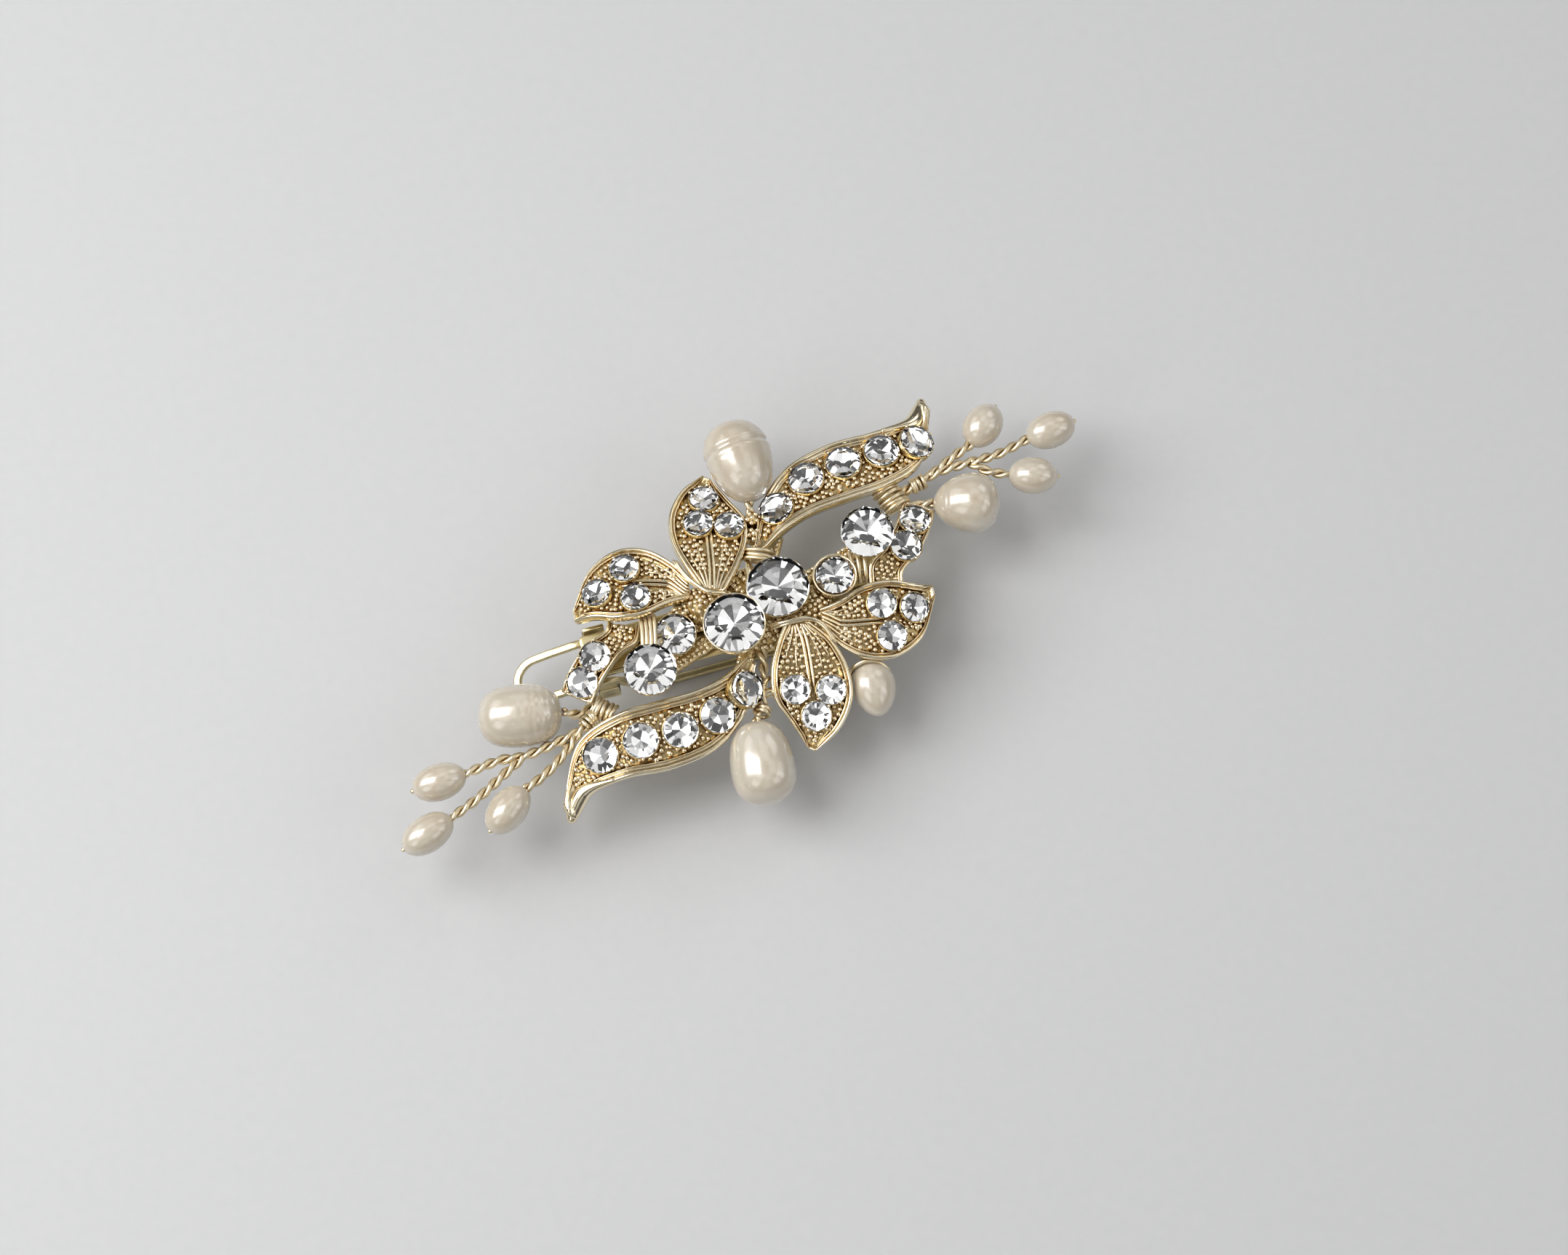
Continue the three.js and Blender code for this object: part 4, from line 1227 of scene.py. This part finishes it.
def add_slab(shape, outline, levels, origin, axes):
    """A flat plate. The outline lies in the first two axes; levels are (inset, height)."""
    along = unit(np.roll(outline, -1, axis=0) - np.roll(outline, 1, axis=0))
    x, y = outline.T
    area = np.sum(x * np.roll(y, -1) - y * np.roll(x, -1)) / 2
    inward = np.stack([-along[:, 1], along[:, 0]], axis=1) * np.sign(area)
    axes = np.asarray(axes, float)
    shape.rings([
        np.asarray(origin) + (outline + inward * inset) @ axes[:2] + axes[2] * height
        for inset, height in levels
    ])


def soft_levels(thick):
    """Levels that round a plate's edges and keep its faces flat."""
    levels = [(0.45, 0), (0.12, 0), (0.03, 0.03), (0, 0.12)]
    return levels + [(inset, thick - height) for inset, height in reversed(levels)]


def side_line(points):
    """A bent strip seen from the side: its (x, z) line and the direction square to it."""
    line = softened(points, 0.12, 7, closed=False)
    slope = unit(np.gradient(line, axis=0))
    square = np.stack([slope[:, 1], -slope[:, 0]], axis=1)
    return line, square * np.sign(square[:, 1:])


def add_plate():
    shape = Shape(BRASS)
    mirrored = [(x, -y) for x, y in reversed(PLATE_EDGE)]
    outline = softened(PLATE_EDGE + mirrored, 0.16, 3, closed=True)
    add_slab(shape, outline, soft_levels(PLATE_THICK), (0, 0, PLATE_TOP - PLATE_THICK), np.eye(3))
    arc = np.radians(np.arange(90, 271, 15))
    lug = [(PLATE_TOP - 0.3, HINGE_X + EYE - 0.1), (PLATE_TOP - 0.3, HINGE_X - EYE)]
    lug += [(HINGE_Z + EYE * math.cos(a), HINGE_X - EYE * math.sin(a)) for a in arc]
    lug = softened(lug, 0.12, 2, closed=True)
    levels = [(0.3, 0), (0.1, 0), (0, 0.1)]
    levels += [(inset, LUG_THICK - height) for inset, height in reversed(levels)]
    for inner in (LUG - LUG_THICK, -LUG):
        add_slab(shape, lug, levels, (0, inner, 0), ((0, 0, 1), (1, 0, 0), (0, 1, 0)))
    shape.piece("top_plate_stamping", FLOWER, "clip_brass", "top_plate")


def add_arm():
    shape = Shape(BRASS)
    line, square = side_line(ARM_LINE)
    offset = (ARM_WIDTH - ARM_RAIL) / 2
    straight = np.arange(SLOT_END, LOOP_MIDDLE, -0.2)
    turn = np.radians(np.arange(90, 271, 9))
    plan = [(x, offset) for x in straight]
    plan += [(LOOP_MIDDLE + offset * math.cos(a), offset * math.sin(a)) for a in turn]
    plan += [(x, -offset) for x in straight[::-1]]
    plan = np.array(plan)
    order = np.argsort(line[:, 0])

    def on_strip(x):
        height = np.interp(x, line[order, 0], line[order, 1])
        ups = np.stack([np.interp(x, line[order, 0], square[order, k]) for k in (0, 1)], axis=1)
        return height, np.stack([ups[:, 0], np.zeros(len(x)), ups[:, 1]], axis=1)

    height, ups = on_strip(plan[:, 0])
    add_bar(shape, np.column_stack([plan, height]), ups, ARM_RAIL, ARM_THICK, 0.2)
    solid = np.arange(SLOT_END - 0.3, 15.9, 0.2)
    height, ups = on_strip(solid)
    path = np.column_stack([solid, np.zeros(len(solid)), height])
    add_bar(shape, path, ups, ARM_WIDTH, ARM_THICK, 0.2)
    half = ARM_WIDTH / 2
    eye = [(EYE - 0.12, -half), (EYE, 0.12 - half), (EYE, half - 0.12), (EYE - 0.12, half),
           (BORE, half), (BORE, -half)]
    add_lathe(shape, eye, (HINGE_X, 0, HINGE_Z), (0, 1, 0), 40, closed=True)
    shape.piece("clasp_arm_strip", "clasp_arm", "clip_brass", "clasp_arm")


def add_spring():
    shape = Shape(STEEL)
    middle = (SPRING_FROM + SPRING_TO) / 2
    x = np.linspace(SPRING_FROM, SPRING_TO, 70)
    share = (x - middle) / (SPRING_TO - middle)
    path = np.column_stack([x, np.zeros(len(x)), SPRING_LOW + SPRING_RISE * share**2])
    tangents = unit(np.gradient(path, axis=0))
    ups = np.column_stack([-tangents[:, 2], np.zeros(len(x)), tangents[:, 0]])
    add_bar(shape, path, ups, 5.0, 0.35, 0.12)
    shape.piece("tension_spring_leaf", "tension_spring", "spring_steel", "tension_spring")


def add_hinge_pin():
    shape = Shape(STEEL)
    half = [(0.5, LUG), (0.76, LUG + 0.02), (0.74, LUG + 0.1), (0.5, LUG + 0.22), (0, LUG + 0.26)]
    profile = [(size, -height) for size, height in reversed(half)] + half
    add_lathe(shape, profile, (HINGE_X, 0, HINGE_Z), (0, 1, 0), 32)
    shape.piece("hinge_pin_rivet", FLOWER, "spring_steel", "hinge_pin")


def add_wing(side, sign):
    shape = Shape(BRASS)
    outline = softened([(sign * y, z) for y, z in WING_SECTION], 0.07, 2, closed=True)
    levels = [(0.16, -1.3), (0.05, -1.3), (0, -1.22)]
    levels += [(inset, -height) for inset, height in reversed(levels)]
    add_slab(shape, outline, levels, (CATCH_X, 0, 0), ((0, 1, 0), (0, 0, 1), (1, 0, 0)))
    node = f"latch_wing_{side}"
    shape.piece(f"{node}_tab", node, "clip_brass", node)


# ---- Studio ----

# Rings of square panels round the object: height above it in degrees, and each one's power in
# watts. The panels' size and distance, and the floor's half width, are in metres.
PANEL_RINGS = {
    36: (0.27, 0.08, 0.23, 0.12, 0.29, 0.07, 0.21, 0.16),
    64: (0.16, 0.06, 0.19, 0.07, 0.14),
}
PANEL_SIZE = 0.23
PANEL_REACH = 0.55
FLOOR_HALF = 1.5


def add_softbox(name, place, size, power):
    data = bpy.data.lights.new(name, "AREA")
    data.shape = "RECTANGLE"
    data.size, data.size_y = size
    data.energy = power
    light = bpy.data.objects.new(name, data)
    light.location = place
    light.rotation_euler = Vector(place).to_track_quat("Z", "Y").to_euler()
    bpy.context.scene.collection.objects.link(light)


def add_studio():
    """One long soft key from the left, a weaker fill, rings of small panels, and the floor."""
    add_softbox("Key", (-0.30, 0.10, 0.42), (0.28, 0.46), 2.2)
    add_softbox("Fill", (0.40, -0.20, 0.30), (0.12, 0.30), 0.2)
    for height, powers in PANEL_RINGS.items():
        rise = math.radians(height)
        for index, power in enumerate(powers):
            turn = index / len(powers) * TAU + rise
            direction = Vector((
                math.cos(turn) * math.cos(rise), math.sin(turn) * math.cos(rise), math.sin(rise),
            ))
            size = (PANEL_SIZE, PANEL_SIZE)
            add_softbox(f"Panel_{height}_{index + 1}", direction * PANEL_REACH, size, power)

    world = bpy.data.worlds.new("World")
    world.use_nodes = True
    background = world.node_tree.nodes["Background"]
    set_sockets(background, Color=(0.98, 0.98, 1.0, 1), Strength=0.10)
    bpy.context.scene.world = world

    low = -0.02 * MM
    mesh = bpy.data.meshes.new("Floor")
    square = [(-1, -1), (1, -1), (1, 1), (-1, 1)]
    corners = [(x * FLOOR_HALF, y * FLOOR_HALF, low) for x, y in square]
    mesh.from_pydata(corners, [], [(0, 1, 2, 3)])
    mesh.materials.append(floor_card())
    ground = bpy.data.objects.new("Floor", mesh)
    bpy.context.scene.collection.objects.link(ground)
    bpy.context.scene.view_settings.view_transform = "Standard"


# ---- The whole barrette ----

chance = random.Random(7)
for blade in BLADES:
    add_blade(blade, chance)
for name in ("center", "side", "wired"):
    for side in ("left", "right"):
        add_cup(name, side)
for pearl in PEARLS:
    add_pearl(pearl, chance)
for side in ("left", "right"):
    add_spray(side)
add_pearl_stems()
add_lashings()
add_base(chance)
add_plate()
add_arm()
add_spring()
add_hinge_pin()
add_wing("front", -1)
add_wing("back", 1)
add_studio()
